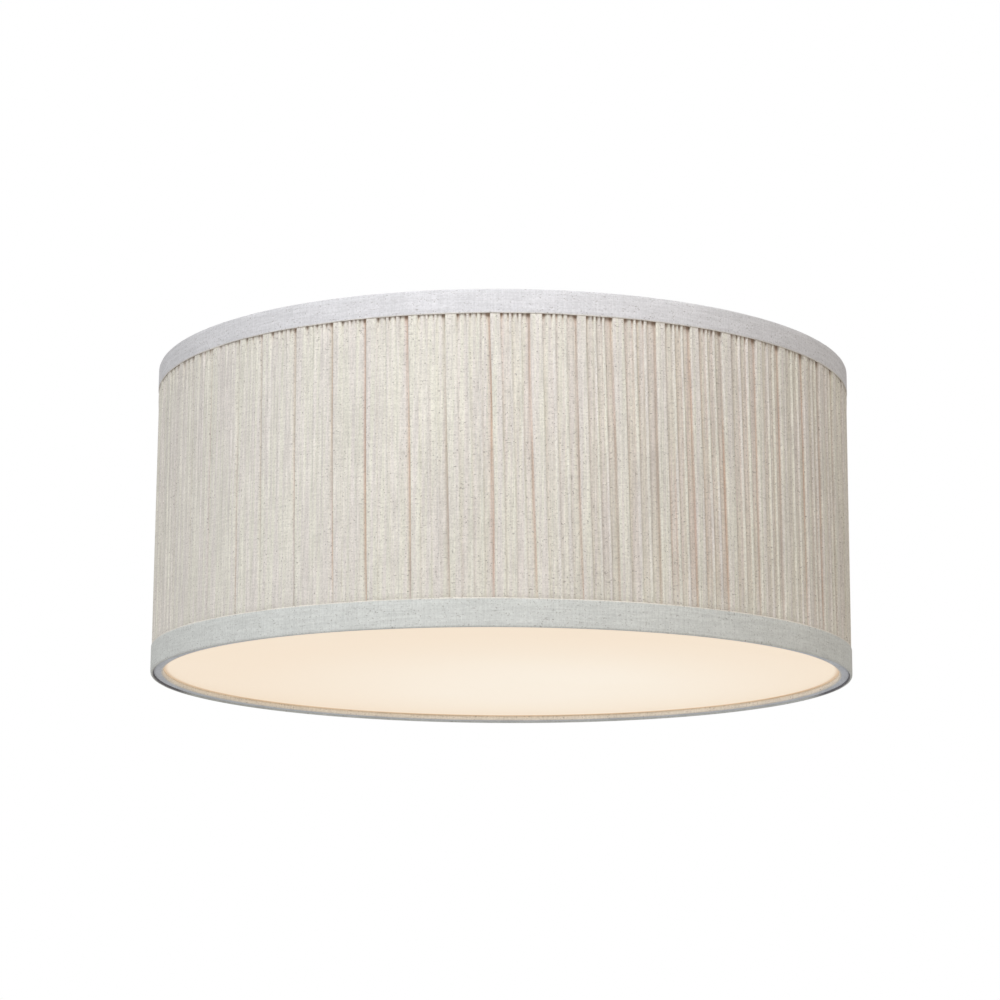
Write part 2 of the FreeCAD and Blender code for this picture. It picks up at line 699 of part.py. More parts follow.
def make_socket_bracket(number, azimuth):
    """An angle bracket: foot riveted under the pan, leg down behind the socket."""
    label = f"socket_bracket_{number}"
    body = new_body(label)
    sketch = new_sketch(body, f"{label}_section")
    inside = socket_back_radius - bracket_sheet
    foot_end = socket_back_radius + bracket_foot_length
    foot_bottom = pan_bottom - bracket_sheet
    leg_end = lamp_axis - bracket_tail
    outline(
        sketch,
        [
            (inside, pan_bottom),
            (foot_end, pan_bottom),
            (foot_end, foot_bottom),
            (socket_back_radius, foot_bottom),
            (socket_back_radius, leg_end),
            (inside, leg_end),
        ],
    )
    base = padded_feature(body, f"{label}_bent", sketch, bracket_width, midplane=True)
    doc.recompute()
    bend = [
        f"Edge{k + 1}"
        for k, edge in enumerate(base.Shape.Edges)
        if abs(edge.CenterOfMass.x - inside.number) < 0.001
        and abs(edge.CenterOfMass.z - pan_bottom.number) < 0.001
    ]
    fillet = body.newObject("PartDesign::Fillet", f"{label}_bend")
    fillet.Base = (base, bend)
    bind(fillet, "Radius", bracket_bend_radius)
    body.Tip = fillet
    screw = new_sketch(body, f"{label}_screw_hole", "YZ_Plane")
    circle(screw, 0, lamp_axis, socket_screw_diameter / 2 + screw_fit)
    hole_feature(body, f"{label}_screw_cut", screw)
    rivets = new_sketch(body, f"{label}_rivet_holes", "XY_Plane")
    for side in (1, -1):
        radius = rivet_diameter / 2 + rivet_fit
        circle(rivets, bracket_rivet_radius, bracket_rivet_offset * side, radius)
    hole_feature(body, f"{label}_rivet_cut", rivets)
    turn_to(body, azimuth)
    return body


def make_socket(number, azimuth):
    """The porcelain body of a lampholder, with two blind holes for its leads."""
    label = f"socket_{number}"
    outer, bore = socket_diameter / 2, socket_bore_diameter / 2
    hole = socket_screw_diameter / 2 + screw_fit
    back, soft = socket_back_radius, socket_edge_chamfer
    corners = [(back, hole), (back, outer - soft), (back + soft, outer)]
    corners += [(socket_mouth - soft / 2, outer), (socket_mouth, outer - soft / 2)]
    corners += [(socket_mouth, bore), (socket_inside, bore), (socket_inside, hole)]
    body = radial_body(label, corners, azimuth)
    sketch = new_sketch(body, f"{label}_lead_holes", "YZ_Plane")
    for side in (1, -1):
        circle(sketch, lead_side_offset * side, 0, lead_hole_diameter / 2)
    cut = body.newObject("PartDesign::Pocket", f"{label}_lead_cut")
    cut.Profile = sketch
    bind(cut, "Length", socket_back_radius + lead_hole_depth)
    cut.Reversed = True
    body.Tip = cut
    return body


def make_socket_screws():
    """Three screws, each through a bracket into its socket."""
    shank = socket_screw_diameter / 2
    head = socket_screw_head_diameter / 2
    seat = socket_back_radius - bracket_sheet
    face = seat - socket_screw_head_height
    soft = socket_screw_head_height / 2
    body = new_body("socket_screws")
    sketch = new_sketch(body, "socket_screw_outline")
    corners = [(face, 0), (face, head - soft), (face + soft, head), (seat, head), (seat, shank)]
    corners += [(seat + socket_screw_length, shank), (seat + socket_screw_length, 0)]
    outline(sketch, corners)
    turned = turned_feature(body, "socket_screw_turned", sketch, axis="H_Axis")
    repeat_round(body, "socket_screw_ring", [turned], lamp_count)
    turn_to(body, first_lamp_azimuth, lamp_axis)
    return body


def make_screw_shell(number, azimuth):
    """The thin metal shell inside a socket that the lamp's cap screws into."""
    front = shell_back + shell_length
    hole = shell_hole_diameter / 2
    inside = shell_back + shell_sheet
    corners = [(shell_back, hole), (shell_back, shell_outer), (front, shell_outer)]
    corners += [(front, shell_inner), (inside, shell_inner), (inside, hole)]
    return radial_body(f"screw_shell_{number}", corners, azimuth)


def make_centre_contact(number, azimuth):
    """The sprung brass tongue on the socket's floor."""
    label = f"centre_contact_{number}"
    body = new_body(label)
    sketch = new_sketch(body, f"{label}_side")
    foot = socket_inside + shell_seat_gap
    face = foot + contact_sheet
    tip = socket_inside + contact_reach
    low, bend, end = -contact_half_height, -contact_half_height / 3, contact_half_height / 3
    corners = [(foot, low), (face, low), (face, bend), (tip, end), (tip - contact_sheet, end)]
    corners += [(foot, bend + contact_sheet)]
    outline(sketch, corners)
    padded_feature(body, f"{label}_strip", sketch, contact_width, midplane=True)
    turn_to(body, azimuth, lamp_axis)
    return body


# ------------------------------------------------------------------------ lamps


def make_lamp_tip(number, azimuth):
    """The lamp's end contact and its glass insulator."""
    button, cone = tip_button_diameter / 2, tip_cone_diameter / 2
    rise = lamp_tip + tip_button_height
    rim = cap_root_diameter / 2 - tip_button_height
    corners = [(lamp_tip, 0), (lamp_tip, button), (rise, button), (rise, cone), (cap_start, rim)]
    corners += [(cap_start, 0)]
    return radial_body(f"lamp_tip_{number}", corners, azimuth)


def make_lamp_cap(number, azimuth):
    """The lamp's screw cap. Its thread is drawn as rounded rings at the thread's pitch."""
    crest, root = cap_diameter / 2, cap_root_diameter / 2
    quarter = cap_thread_pitch / 4
    corners = [(cap_start, 0), (cap_start, root - tip_button_height / 2)]
    corners += [(cap_start + tip_button_height / 2, root)]
    for turn in range(cap_thread_count):
        start = cap_start + cap_thread_start + cap_thread_pitch * turn
        corners += [(start, root), (start + quarter, crest)]
        corners += [(start + quarter * 2, crest), (start + quarter * 3, root)]
    corners += [(cap_end, root), (cap_end, 0)]
    return radial_body(f"lamp_cap_{number}", corners, azimuth)


def make_lamp_collar(number, azimuth):
    """The lamp's moulded housing: a flared cup between the cap and the globe."""
    neck, waist, mouth = collar_neck_diameter / 2, collar_waist_diameter / 2, collar_mouth_diameter / 2
    middle = cap_end + collar_length / 2
    floor = cap_end + collar_wall
    neck_end = cap_end + collar_wall * 2
    corners = [(cap_end, 0), (cap_end, neck), (neck_end, neck), (middle, waist), (collar_end, mouth)]
    corners += [(collar_end, mouth - collar_wall), (middle, waist - collar_wall)]
    corners += [(neck_end, neck - collar_wall), (floor, neck - collar_wall), (floor, 0)]
    return radial_body(f"lamp_collar_{number}", corners, azimuth)


def make_lamp_globe(number, azimuth):
    """The frosted globe: a hollow ball, cut flat where it meets the housing."""
    label = f"lamp_globe_{number}"
    radius, mouth = globe_diameter / 2, collar_mouth_diameter / 2
    reach_text = f"sqrt({radius.text} * {radius.text} - {mouth.text} * {mouth.text})"
    reach = Size(math.sqrt(radius.number**2 - mouth.number**2), reach_text)
    middle = collar_end + reach
    balls = []
    for name, ball_radius in (("outer", radius), ("inner", radius - globe_wall)):
        ball = doc.addObject("Part::Sphere", f"{label}_{name}")
        bind(ball, "Radius", ball_radius)
        bind(ball, "Placement.Base.x", middle)
        balls.append(ball)
    hollow = doc.addObject("Part::Cut", f"{label}_hollow")
    hollow.Base, hollow.Tool = balls
    block = doc.addObject("Part::Box", f"{label}_block")
    for side, value in (("Length", globe_diameter), ("Width", globe_diameter), ("Height", globe_diameter)):
        bind(block, side, value)
    bind(block, "Placement.Base.x", collar_end - globe_diameter)
    bind(block, "Placement.Base.y", -radius)
    bind(block, "Placement.Base.z", -radius)
    globe = doc.addObject("Part::Cut", label)
    globe.Base, globe.Tool = hollow, block
    globe.Label = label
    turn_to(globe, azimuth, lamp_axis)
    return globe


# ------------------------------------------------------------------------ shade


def make_top_ring():
    """The wire ring inside the shade's top edge."""
    ring = doc.addObject("Part::Torus", "shade_top_ring")
    ring.Label = "shade_top_ring"
    bind(ring, "Radius1", top_wire_circle)
    bind(ring, "Radius2", top_wire_radius)
    bind(ring, "Placement.Base.z", top_wire_level)
    return ring


def make_fitter_ring():
    """The flat ring under the pan, with three bayonet keyholes."""
    corners = [(fitter_inner, fitter_bottom), (fitter_outer, fitter_bottom)]
    corners += [(fitter_outer, fitter_top), (fitter_inner, fitter_top)]
    body = revolved_body("fitter_ring", corners)
    half = stud_radius + stud_slot_clearance
    track = new_sketch(body, "keyhole_track")
    low, high = fitter_bottom - cut_margin, fitter_top + cut_margin
    inside, outside = stud_circle_radius - half, stud_circle_radius + half
    outline(track, [(inside, low), (outside, low), (outside, high), (inside, high)])
    sweep = turned_feature(body, "keyhole_track_cut", track, angle=twist_angle, kind="Groove")
    ends = new_sketch(body, "keyhole_ends", "XY_Plane")
    rest_x, rest_y = polar(stud_circle_radius, twist_angle)
    circle(ends, rest_x, rest_y, half)
    circle(ends, stud_circle_radius, 0, stud_head_diameter / 2 + stud_entry_clearance)
    openings = hole_feature(body, "keyhole_openings", ends)
    repeat_round(body, "keyholes", [sweep, openings], lamp_count)
    turn_to(body, stud_azimuth - twist_angle)
    return body


def make_spider_arm(number, azimuth):
    """A bent steel strip from the fitter ring out and up to the top ring."""
    label = f"spider_arm_{number}"
    body = new_body(label)
    sketch = new_sketch(body, f"{label}_side")
    low_top = fitter_bottom
    high_top = top_wire_level - top_wire_radius
    start = fitter_outer - arm_lap
    end = liner_inner - arm_end_clearance
    rise_end = end - arm_tip_length
    rise_start = rise_end - arm_rise_run
    rise = high_top - low_top
    half_bend = Size(
        math.tan(math.atan2(rise.number, arm_rise_run.number) / 2),
        f"tan(atan({rise.text} / {arm_rise_run.text}) / 2)",
    )
    shift = arm_sheet * half_bend
    outline(
        sketch,
        [
            (start, low_top),
            (rise_start, low_top),
            (rise_end, high_top),
            (end, high_top),
            (end, high_top - arm_sheet),
            (rise_end + shift, high_top - arm_sheet),
            (rise_start + shift, low_top - arm_sheet),
            (start, low_top - arm_sheet),
        ],
    )
    padded_feature(body, f"{label}_strip", sketch, arm_width, midplane=True)
    turn_to(body, azimuth)
    return body


def make_bottom_ring():
    """The angle-section ring in the shade's bottom edge, with the ledge for the diffuser."""
    ledge_inner = hem_inner + trim_thickness + layer_gap
    leg_top = layers_bottom + bottom_ring_height
    corners = [(ledge_inner, layers_bottom), (ring_outer, layers_bottom), (ring_outer, leg_top)]
    corners += [(ring_inner, leg_top), (ring_inner, ledge_top), (ledge_inner, ledge_top)]
    return revolved_body("shade_bottom_ring", corners)


def make_liner():
    """The stiff translucent sheet, rolled into a drum, that backs the cloth."""
    corners = [(liner_inner, layers_bottom), (liner_outer, layers_bottom)]
    corners += [(liner_outer, layers_top), (liner_inner, layers_top)]
    return revolved_body("shade_liner", corners)


def add_trim_lap(body, corners):
    """The second layer of trim where its two ends lap, and turns the seam to its place."""
    sketch = new_sketch(body, f"{body.Label}_lap_section")
    outline(sketch, corners)
    turned_feature(body, f"{body.Label}_lap", sketch, angle=trim_lap_angle)
    turn_to(body, trim_lap_azimuth)
    return body


def make_top_trim():
    """The cloth tape folded over the top edge: outer leg, top, and a short inner leg."""
    inner_leg = top_wire_circle - top_wire_radius - layer_gap
    inside = inner_leg - trim_thickness
    roof = shade_top - trim_thickness
    outer_end, inner_end = shade_top - top_trim_height, shade_top - top_trim_return
    corners = [(inside, inner_end), (inner_leg, inner_end), (inner_leg, roof), (trim_inner, roof)]
    corners += [(trim_inner, outer_end), (shade_outer, outer_end), (shade_outer, shade_top)]
    corners += [(inside, shade_top)]
    body = revolved_body("top_trim", corners)
    edges = [(shade_outer, shade_top), (inside, shade_top)]
    round_circles(body, "top_trim_edges", edges, trim_edge_round)
    lap = shade_outer + trim_lap_thickness
    level = shade_top - trim_edge_round
    lap_corners = [(trim_inner, outer_end), (lap, outer_end), (lap, level), (trim_inner, level)]
    return add_trim_lap(body, lap_corners)


def make_bottom_trim():
    """The cloth tape: a thick fold at the outer edge, then under the ledge and up its inner edge."""
    floor = hem_level + trim_thickness
    outer_end = shade_bottom + bottom_trim_height
    leg = hem_inner + trim_thickness
    fold_inner = shade_outer - hem_fold_width
    corners = [(hem_inner, hem_level), (fold_inner, hem_level), (fold_inner, shade_bottom)]
    corners += [(shade_outer, shade_bottom), (shade_outer, outer_end), (trim_inner, outer_end)]
    corners += [(trim_inner, floor), (leg, floor), (leg, ledge_top), (hem_inner, ledge_top)]
    body = revolved_body("bottom_trim", corners)
    edges = [(shade_outer, shade_bottom), (hem_inner, hem_level)]
    round_circles(body, "bottom_trim_edges", edges, trim_edge_round)
    lap = shade_outer + trim_lap_thickness
    level = shade_bottom + trim_edge_round
    lap_corners = [(trim_inner, level), (lap, level), (lap, outer_end), (trim_inner, outer_end)]
    return add_trim_lap(body, lap_corners)


def scatter(number, salt):
    """A repeatable spread of values from -1 to 1, one for each fold."""
    return 2 * ((math.sin(number * 12.9898 + salt * 78.233) * 43758.5453) % 1.0) - 1


def fold_section():
    """One group of folds: how far along the group each corner lies, and its height above the root.

    A broad flat fold stands between two gaps, and two narrow folds follow it. On the front left,
    where the cloth is drawn flatter, the narrow folds are given as low as the panels between them.
    """
    broad_start, broad_end, panel = 0.03, 0.27, 0.38
    narrow_folds, narrow_width, narrow_height = (0.50, 0.74), 0.06, 0.86
    edge = 0.02
    corners = [(0, 0, 0), (broad_start, 1, 1), (broad_end, 0.96, 0.96), (broad_end + edge, panel, 0.8)]
    for start in narrow_folds:
        corners.append((start - edge, panel, 0.86))
        corners.append((start, narrow_height, 0.9))
        corners.append((start + narrow_width, narrow_height, 0.9))
        corners.append((start + narrow_width + edge, panel, 0.84))
    return corners + [(1 - broad_start, panel, 0.8)]


def make_pleated_cover():
    """The gathered linen: groups of pressed folds of uneven width, each leaning a little its own way."""
    groups = int(round(pleat_groups.number))
    root, crest = pleat_root.number, pleat_crest.number
    pitch = 2 * math.pi / groups
    flat_middle, flat_width = math.radians(222), math.radians(42)
    unevenness = 0.09 * pitch
    wander = pleat_lean.number / crest / 2
    section = fold_section()

    def group_start(k, lean):
        k = k % groups
        return k * pitch + unevenness * scatter(k, 1) + lean * wander * (1 + scatter(k // 4, 2))

    def ring(level, lean):
        points = []
        for k in range(groups):
            start = group_start(k, lean)
            following = group_start(k + 1, lean) + (2 * math.pi if k + 1 == groups else 0)
            flat = math.exp(-(((k * pitch - flat_middle) / flat_width) ** 2))
            for along, height, flat_height in section:
                turn = start + along * (following - start)
                radius = root + (crest - root) * (height + flat * (flat_height - height))
                points.append(Vector(radius * math.cos(turn), radius * math.sin(turn), level))
        return Part.makePolygon(points + points[:1])

    low, high = layers_bottom.number, layers_top.number
    outer = Part.makeLoft([ring(low, 0.5), ring(high, -0.5)], True, True)
    back = Part.makeCylinder(cover_back.number, high - low, Vector(0, 0, low))
    cover = doc.addObject("Part::Feature", "pleated_cover")
    cover.Label = "pleated_cover"
    cover.Shape = outer.cut(back)
    return cover


def make_diffuser():
    """The frosted acrylic disc that lies on the bottom ring's ledge."""
    low = ledge_top + diffuser_seat_gap
    top = low + diffuser_thickness
    radius = ring_inner - diffuser_clearance
    return revolved_body("diffuser_panel", [(0, low), (radius, low), (radius, top), (0, top)])


# ----------------------------------------------------------------------- wiring


def lead_path(points, radius):
    """A path of straight runs joined by tangent arcs, each arc as large as its two runs allow."""
    edges = []
    start = points[0]
    for before, corner, after in zip(points, points[1:], points[2:]):
        back, ahead = (before - corner), (after - corner)
        shorter = min(back.Length, ahead.Length)
        half_turn = (math.pi - back.getAngle(ahead)) / 2
        if half_turn < 0.001:
            continue
        setback = min(0.45 * shorter, radius * math.tan(half_turn))
        arc_radius = setback / math.tan(half_turn)
        back.normalize()
        ahead.normalize()
        arc_start, arc_end = corner + back * setback, corner + ahead * setback
        middle = back + ahead
        middle.normalize()
        belly = corner + middle * (arc_radius / math.cos(half_turn) - arc_radius)
        edges.append(Part.LineSegment(start, arc_start).toShape())
        edges.append(Part.Arc(arc_start, belly, arc_end).toShape())
        start = arc_end
    edges.append(Part.LineSegment(start, points[-1]).toShape())
    return Part.Wire(edges)


def lead_solid(points):
    """One insulated lead, swept round along its path."""
    path = lead_path(points, lead_bend_radius.number)
    direction = points[1] - points[0]
    ring = Part.makeCircle(lead_diameter.number / 2, points[0], direction)
    return path.makePipeShell([Part.Wire(ring)], True, True)


def make_leads(label, towards):
    """One lead from each socket, through the bushing, to the connector on one side of the strap.

    Towards is 1 for the leads that end at +Y and -1 for those that end at -Y. Each socket's lead
    leaves on the side that keeps it clear of its neighbours, and goes up the bushing in its own column.
    """
    start = socket_back_radius.number + lead_insertion.number
    gather_level = pan_bottom.number - lead_gather_depth.number
    run_level = connector_level().number
    mouth = connector_distance.number
    solids = []
    for azimuth in lamp_azimuths:
        rotation = Rotation(UP, azimuth.number)
        across = round(math.cos(math.radians(azimuth.number)), 6)
        column = (across > 0) - (across < 0)
        side = lead_side_offset.number * towards * (-1 if column < 0 else 1)
        column_x = lead_gather_half_width.number * column
        column_y = towards * (lead_gather_side.number if column else lead_gather_middle.number)
        held_x = lead_pitch.number * column
        straight = mouth - lead_straight_before.number
        solids.append(
            lead_solid(
                [
                    rotation.multVec(Vector(start, side, lamp_axis.number)),
                    rotation.multVec(Vector(lead_turn_radius.number, side, lamp_axis.number)),
                    Vector(column_x, column_y, gather_level),
                    Vector(column_x, column_y, run_level),
                    Vector(held_x, towards * straight, run_level),
                    Vector(held_x, towards * (mouth + lead_in_connector.number), run_level),
                ]
            )
        )
    leads = doc.addObject("Part::Feature", label)
    leads.Label = label
    leads.Shape = Part.makeCompound(solids)
    return leads


def connector_level():
    """The axis of a wire connector that lies on the insulation pad."""
    return pad_top + connector_seat_gap + connector_mouth_diameter / 2


def make_wire_connector(label, towards):
    """A twist-on connector: a hollow cone lying on the pad, mouth towards the middle."""
    cone = doc.addObject("Part::Cone", f"{label}_cone")
    bind(cone, "Radius1", connector_mouth_diameter / 2)
    bind(cone, "Radius2", connector_tip_diameter / 2)
    bind(cone, "Height", connector_length)
    lying = Rotation(Vector(1, 0, 0), -90 * towards)
    cone.Placement = Placement(NO_SHIFT, lying)
    start = connector_distance * towards
    bind(cone, "Placement.Base.y", start)
    bind(cone, "Placement.Base.z", connector_level())
    bore_radius, level = connector_bore_diameter / 2, connector_level()
    bore = cylinder(f"{label}_bore", bore_radius, connector_bore_depth, 0, start, level, lying)
    made = doc.addObject("Part::Cut", label)
    made.Base, made.Tool = cone, bore
    made.Label = label
    return made


def terminal(x, y, level, barrel_level):
    """A flat ring terminal whose tail and crimp barrel point along +Y, and where its wire ends."""
    ring_radius, sheet_metal = terminal_diameter.number / 2, terminal_sheet.number
    tail, width = terminal_tail.number, lead_diameter.number
    barrel_radius, barrel_length = terminal_barrel_diameter.number / 2, terminal_barrel_length.number
    ring = Part.makeCylinder(ring_radius, sheet_metal, Vector(x, y, level))
    neck = Part.makeBox(width, tail + sheet_metal, sheet_metal, Vector(x - width / 2, y, level))
    barrel_start = Vector(x, y + tail, barrel_level)
    barrel = Part.makeCylinder(barrel_radius, barrel_length, barrel_start, ALONG_Y)
    wire_end = barrel_start + ALONG_Y * sheet_metal
    bore = Part.makeCylinder(width / 2 + wire_fit.number, barrel_length, wire_end, ALONG_Y)
    hole_radius = ground_screw_diameter.number / 2 + screw_fit.number
    hole = Part.makeCylinder(hole_radius, sheet_metal, Vector(x, y, level))
    return ring.fuse([neck, barrel]).cut([hole, bore]).removeSplitter(), wire_end


def make_ground_lead():
    """The bonding lead from the strap's screw to the pan's rivet, with its two ring terminals."""
    strap_level = -(strap_sheet.number + terminal_sheet.number)
    post_x, post_y = (value.number for value in polar(ground_post_radius, ground_post_azimuth))
    upper_axis = strap_level + terminal_sheet.number / 2
    lower_axis = pan_floor.number + terminal_barrel_diameter.number / 2 + wire_fit.number
    upper, upper_end = terminal(ground_screw_offset.number, 0, strap_level, upper_axis)
    lower, lower_end = terminal(post_x, post_y, pan_floor.number, lower_axis)
    far = ground_loop_reach.number
    points = [
        upper_end,
        Vector(upper_end.x, far, upper_end.z),
        Vector(lower_end.x, far, lower_end.z),
        lower_end,
    ]
    lead = doc.addObject("Part::Feature", "ground_lead")
    lead.Label = "ground_lead"
    lead.Shape = Part.makeCompound([lead_solid(points), upper, lower])
    return lead


def make_all():
    """Every sub-part of the light, in the order in which it is put together."""
    made = [
        make_mounting_strap(),
        make_ground_screw(),
        make_ceiling_pan(),
        make_pan_screws(),
        make_wire_bushing(),
        make_insulation_pad(),
        make_shade_studs(),
        make_bracket_rivets(),
        make_ground_rivet(),
        make_ground_lead(),
        make_socket_screws(),
        make_leads("live_leads", 1),
        make_leads("neutral_leads", -1),
        make_wire_connector("live_connector", 1),
        make_wire_connector("neutral_connector", -1),
    ]
    for number, azimuth in enumerate(lamp_azimuths, start=1):
        for maker in (
            make_socket_bracket,
            make_socket,
            make_screw_shell,
            make_centre_contact,
            make_lamp_tip,
            make_lamp_cap,
            make_lamp_collar,
            make_lamp_globe,
        ):
            made.append(maker(number, azimuth))
    for number in range(1, lamp_count + 1):
        made.append(make_spider_arm(number, arm_azimuth + (number - 1) * 360 / lamp_count))
    made += [
        make_top_ring(),
        make_fitter_ring(),
        make_bottom_ring(),
        make_liner(),
        make_top_trim(),
        make_bottom_trim(),
        make_pleated_cover(),
        make_diffuser(),
    ]
    return made


subparts = make_all()
doc.recompute()

for thing in doc.Objects:
    if "Invalid" in thing.State or "Error" in thing.State:
        raise RuntimeError(f"{thing.Label} failed: {thing.State}")
for thing in subparts:
    if thing.Shape.isNull() or not thing.Shape.isValid() or not thing.Shape.Solids:
        raise RuntimeError(f"{thing.Label} has no valid solid")

os.makedirs("parts", exist_ok=True)
for thing in subparts:
    thing.Shape.exportStep(os.path.join("parts", f"{thing.Label}.step"))
print(len(subparts), "sub-parts written")
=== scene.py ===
import math
import random

import bpy
from mathutils import Matrix, Vector


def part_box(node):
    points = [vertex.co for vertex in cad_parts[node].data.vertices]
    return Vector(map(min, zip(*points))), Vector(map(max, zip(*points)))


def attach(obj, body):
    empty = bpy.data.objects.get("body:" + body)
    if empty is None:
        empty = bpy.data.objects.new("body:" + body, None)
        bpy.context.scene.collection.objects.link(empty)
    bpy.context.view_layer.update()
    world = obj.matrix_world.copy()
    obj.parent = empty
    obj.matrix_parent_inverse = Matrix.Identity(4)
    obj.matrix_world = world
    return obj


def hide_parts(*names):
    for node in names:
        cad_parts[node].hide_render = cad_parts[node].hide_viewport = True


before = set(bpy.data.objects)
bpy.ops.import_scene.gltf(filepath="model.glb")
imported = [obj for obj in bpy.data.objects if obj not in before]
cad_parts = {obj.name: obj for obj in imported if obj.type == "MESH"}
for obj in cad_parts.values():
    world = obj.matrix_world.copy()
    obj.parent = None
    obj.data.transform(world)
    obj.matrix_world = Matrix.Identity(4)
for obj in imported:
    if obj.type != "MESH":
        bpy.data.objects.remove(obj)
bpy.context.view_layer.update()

# A flush mount ceiling light: pleated linen drum between two plain tapes, lit frosted disc below.
# Metres, +Z up, the ceiling at z = 0. The front of the light faces -Y.

MM = 0.001
FRONT = math.radians(270)
FULL = 2 * math.pi

# Radii and levels that the cloth pieces share, from the nodes that they stand for
top_low, top_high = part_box("top_trim")
bottom_low, bottom_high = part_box("bottom_trim")
liner_low, liner_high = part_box("shade_liner")
disc_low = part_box("diffuser_panel")[0]
TOP, BOTTOM = top_high.z, bottom_low.z
TOP_TAPE_END, BOTTOM_TAPE_END = top_low.z, bottom_high.z
TAPE_RADIUS = 203.2 * MM
TAPE = 0.6 * MM
LAMP_AZIMUTHS = [math.radians(90 + 120 * k) for k in range(3)]
LAMP_LEVEL = -72 * MM
WRAP_RADIUS = 203.0  # mm, where the cloth's texture is laid round the drum
MIX_COLOURS, MIX_RESULT = (6, 7), 2  # the mix node's two colour inputs and its colour output


# ------------------------------------------------------------------ node helpers


class Nodes:
    """Builds one material's node tree in short lines."""

    def __init__(self, name):
        self.material = bpy.data.materials.new(name)
        self.material.use_nodes = True
        self.tree = self.material.node_tree
        self.shader = self.tree.nodes["Principled BSDF"]

    def add(self, kind, **settings):
        node = self.tree.nodes.new(kind)
        for key, value in settings.items():
            setattr(node, key, value)
        return node

    def link(self, source, target):
        self.tree.links.new(source, target)

    def feed(self, socket, value):
        """Gives a socket a number, a vector or another node's output."""
        if isinstance(value, bpy.types.NodeSocket):
            self.link(value, socket)
        else:
            socket.default_value = value

    def math(self, operation, a, b=0.0):
        node = self.add("ShaderNodeMath", operation=operation)
        self.feed(node.inputs[0], a)
        self.feed(node.inputs[1], b)
        return node.outputs[0]

    def mix(self, factor, a, b):
        node = self.add("ShaderNodeMix", data_type="RGBA")
        self.feed(node.inputs[0], factor)
        for index, value in zip(MIX_COLOURS, (a, b)):
            self.feed(node.inputs[index], value if isinstance(value, bpy.types.NodeSocket) else tint(value))
        return node.outputs[MIX_RESULT]

    def ramp(self, value, low, high, out_low=0.0, out_high=1.0):
        """A smooth change from out_low to out_high as the value goes from low to high."""
        node = self.add("ShaderNodeMapRange", interpolation_type="SMOOTHSTEP")
        for index, number in enumerate((value, low, high, out_low, out_high)):
            self.feed(node.inputs[index], number)
        return node.outputs[0]

    def noise(self, vector, detail=2.0, roughness=0.5):
        """Noise of unit scale: how fine it is follows from how the vector was stretched."""
        node = self.add("ShaderNodeTexNoise")
        self.link(vector, node.inputs["Vector"])
        node.inputs["Scale"].default_value = 1.0
        node.inputs["Detail"].default_value = detail
        node.inputs["Roughness"].default_value = roughness
        return node.outputs["Fac"]

    def stretched(self, vector, factors):
        node = self.add("ShaderNodeVectorMath", operation="MULTIPLY")
        self.link(vector, node.inputs[0])
        node.inputs[1].default_value = factors
        return node.outputs[0]

    def object_place(self):
        return self.add("ShaderNodeTexCoord").outputs["Object"]

    def round_the_drum(self):
        """The place in millimetres round the drum, out from its axis and up; then the last two alone."""
        split = self.add("ShaderNodeSeparateXYZ")
        self.link(self.object_place(), split.inputs[0])
        x, y, z = split.outputs
        angle = self.math("ARCTAN2", x, self.math("MULTIPLY", y, -1.0))
        radius = self.math("SQRT", self.math("ADD", self.math("POWER", x, 2.0), self.math("POWER", y, 2.0)))
        radius = self.math("MULTIPLY", radius, 1 / MM)
        along = self.math("MULTIPLY", angle, WRAP_RADIUS)
        up = self.math("MULTIPLY", z, 1 / MM)
        joined = self.add("ShaderNodeCombineXYZ")
        for socket, value in zip(joined.inputs, (along, radius, up)):
            self.link(value, socket)
        return joined.outputs[0], radius, up

    def bump(self, height, distance, strength=1.0, under=None):
        node = self.add("ShaderNodeBump")
        node.inputs["Strength"].default_value = strength
        node.inputs["Distance"].default_value = distance
        self.link(height, node.inputs["Height"])
        if under is not None:
            self.link(under, node.inputs["Normal"])
        return node.outputs[0]

    def finish(self, color, roughness=0.6, normal=None, **sockets):
        self.feed(self.shader.inputs["Base Color"], color)
        self.feed(self.shader.inputs["Roughness"], roughness)
        if normal is not None:
            self.link(normal, self.shader.inputs["Normal"])
        for name, value in sockets.items():
            self.feed(self.shader.inputs[name.replace("_", " ")], value)
        return self.material


def tint(srgb):
    """A colour as it looks on screen, 0 to 255, as the linear value that the nodes take."""
    linear = [((c / 255 + 0.055) / 1.055) ** 2.4 if c > 10 else c / 255 / 12.92 for c in srgb]
    return (*linear, 1.0)


# --------------------------------------------------------------------- materials


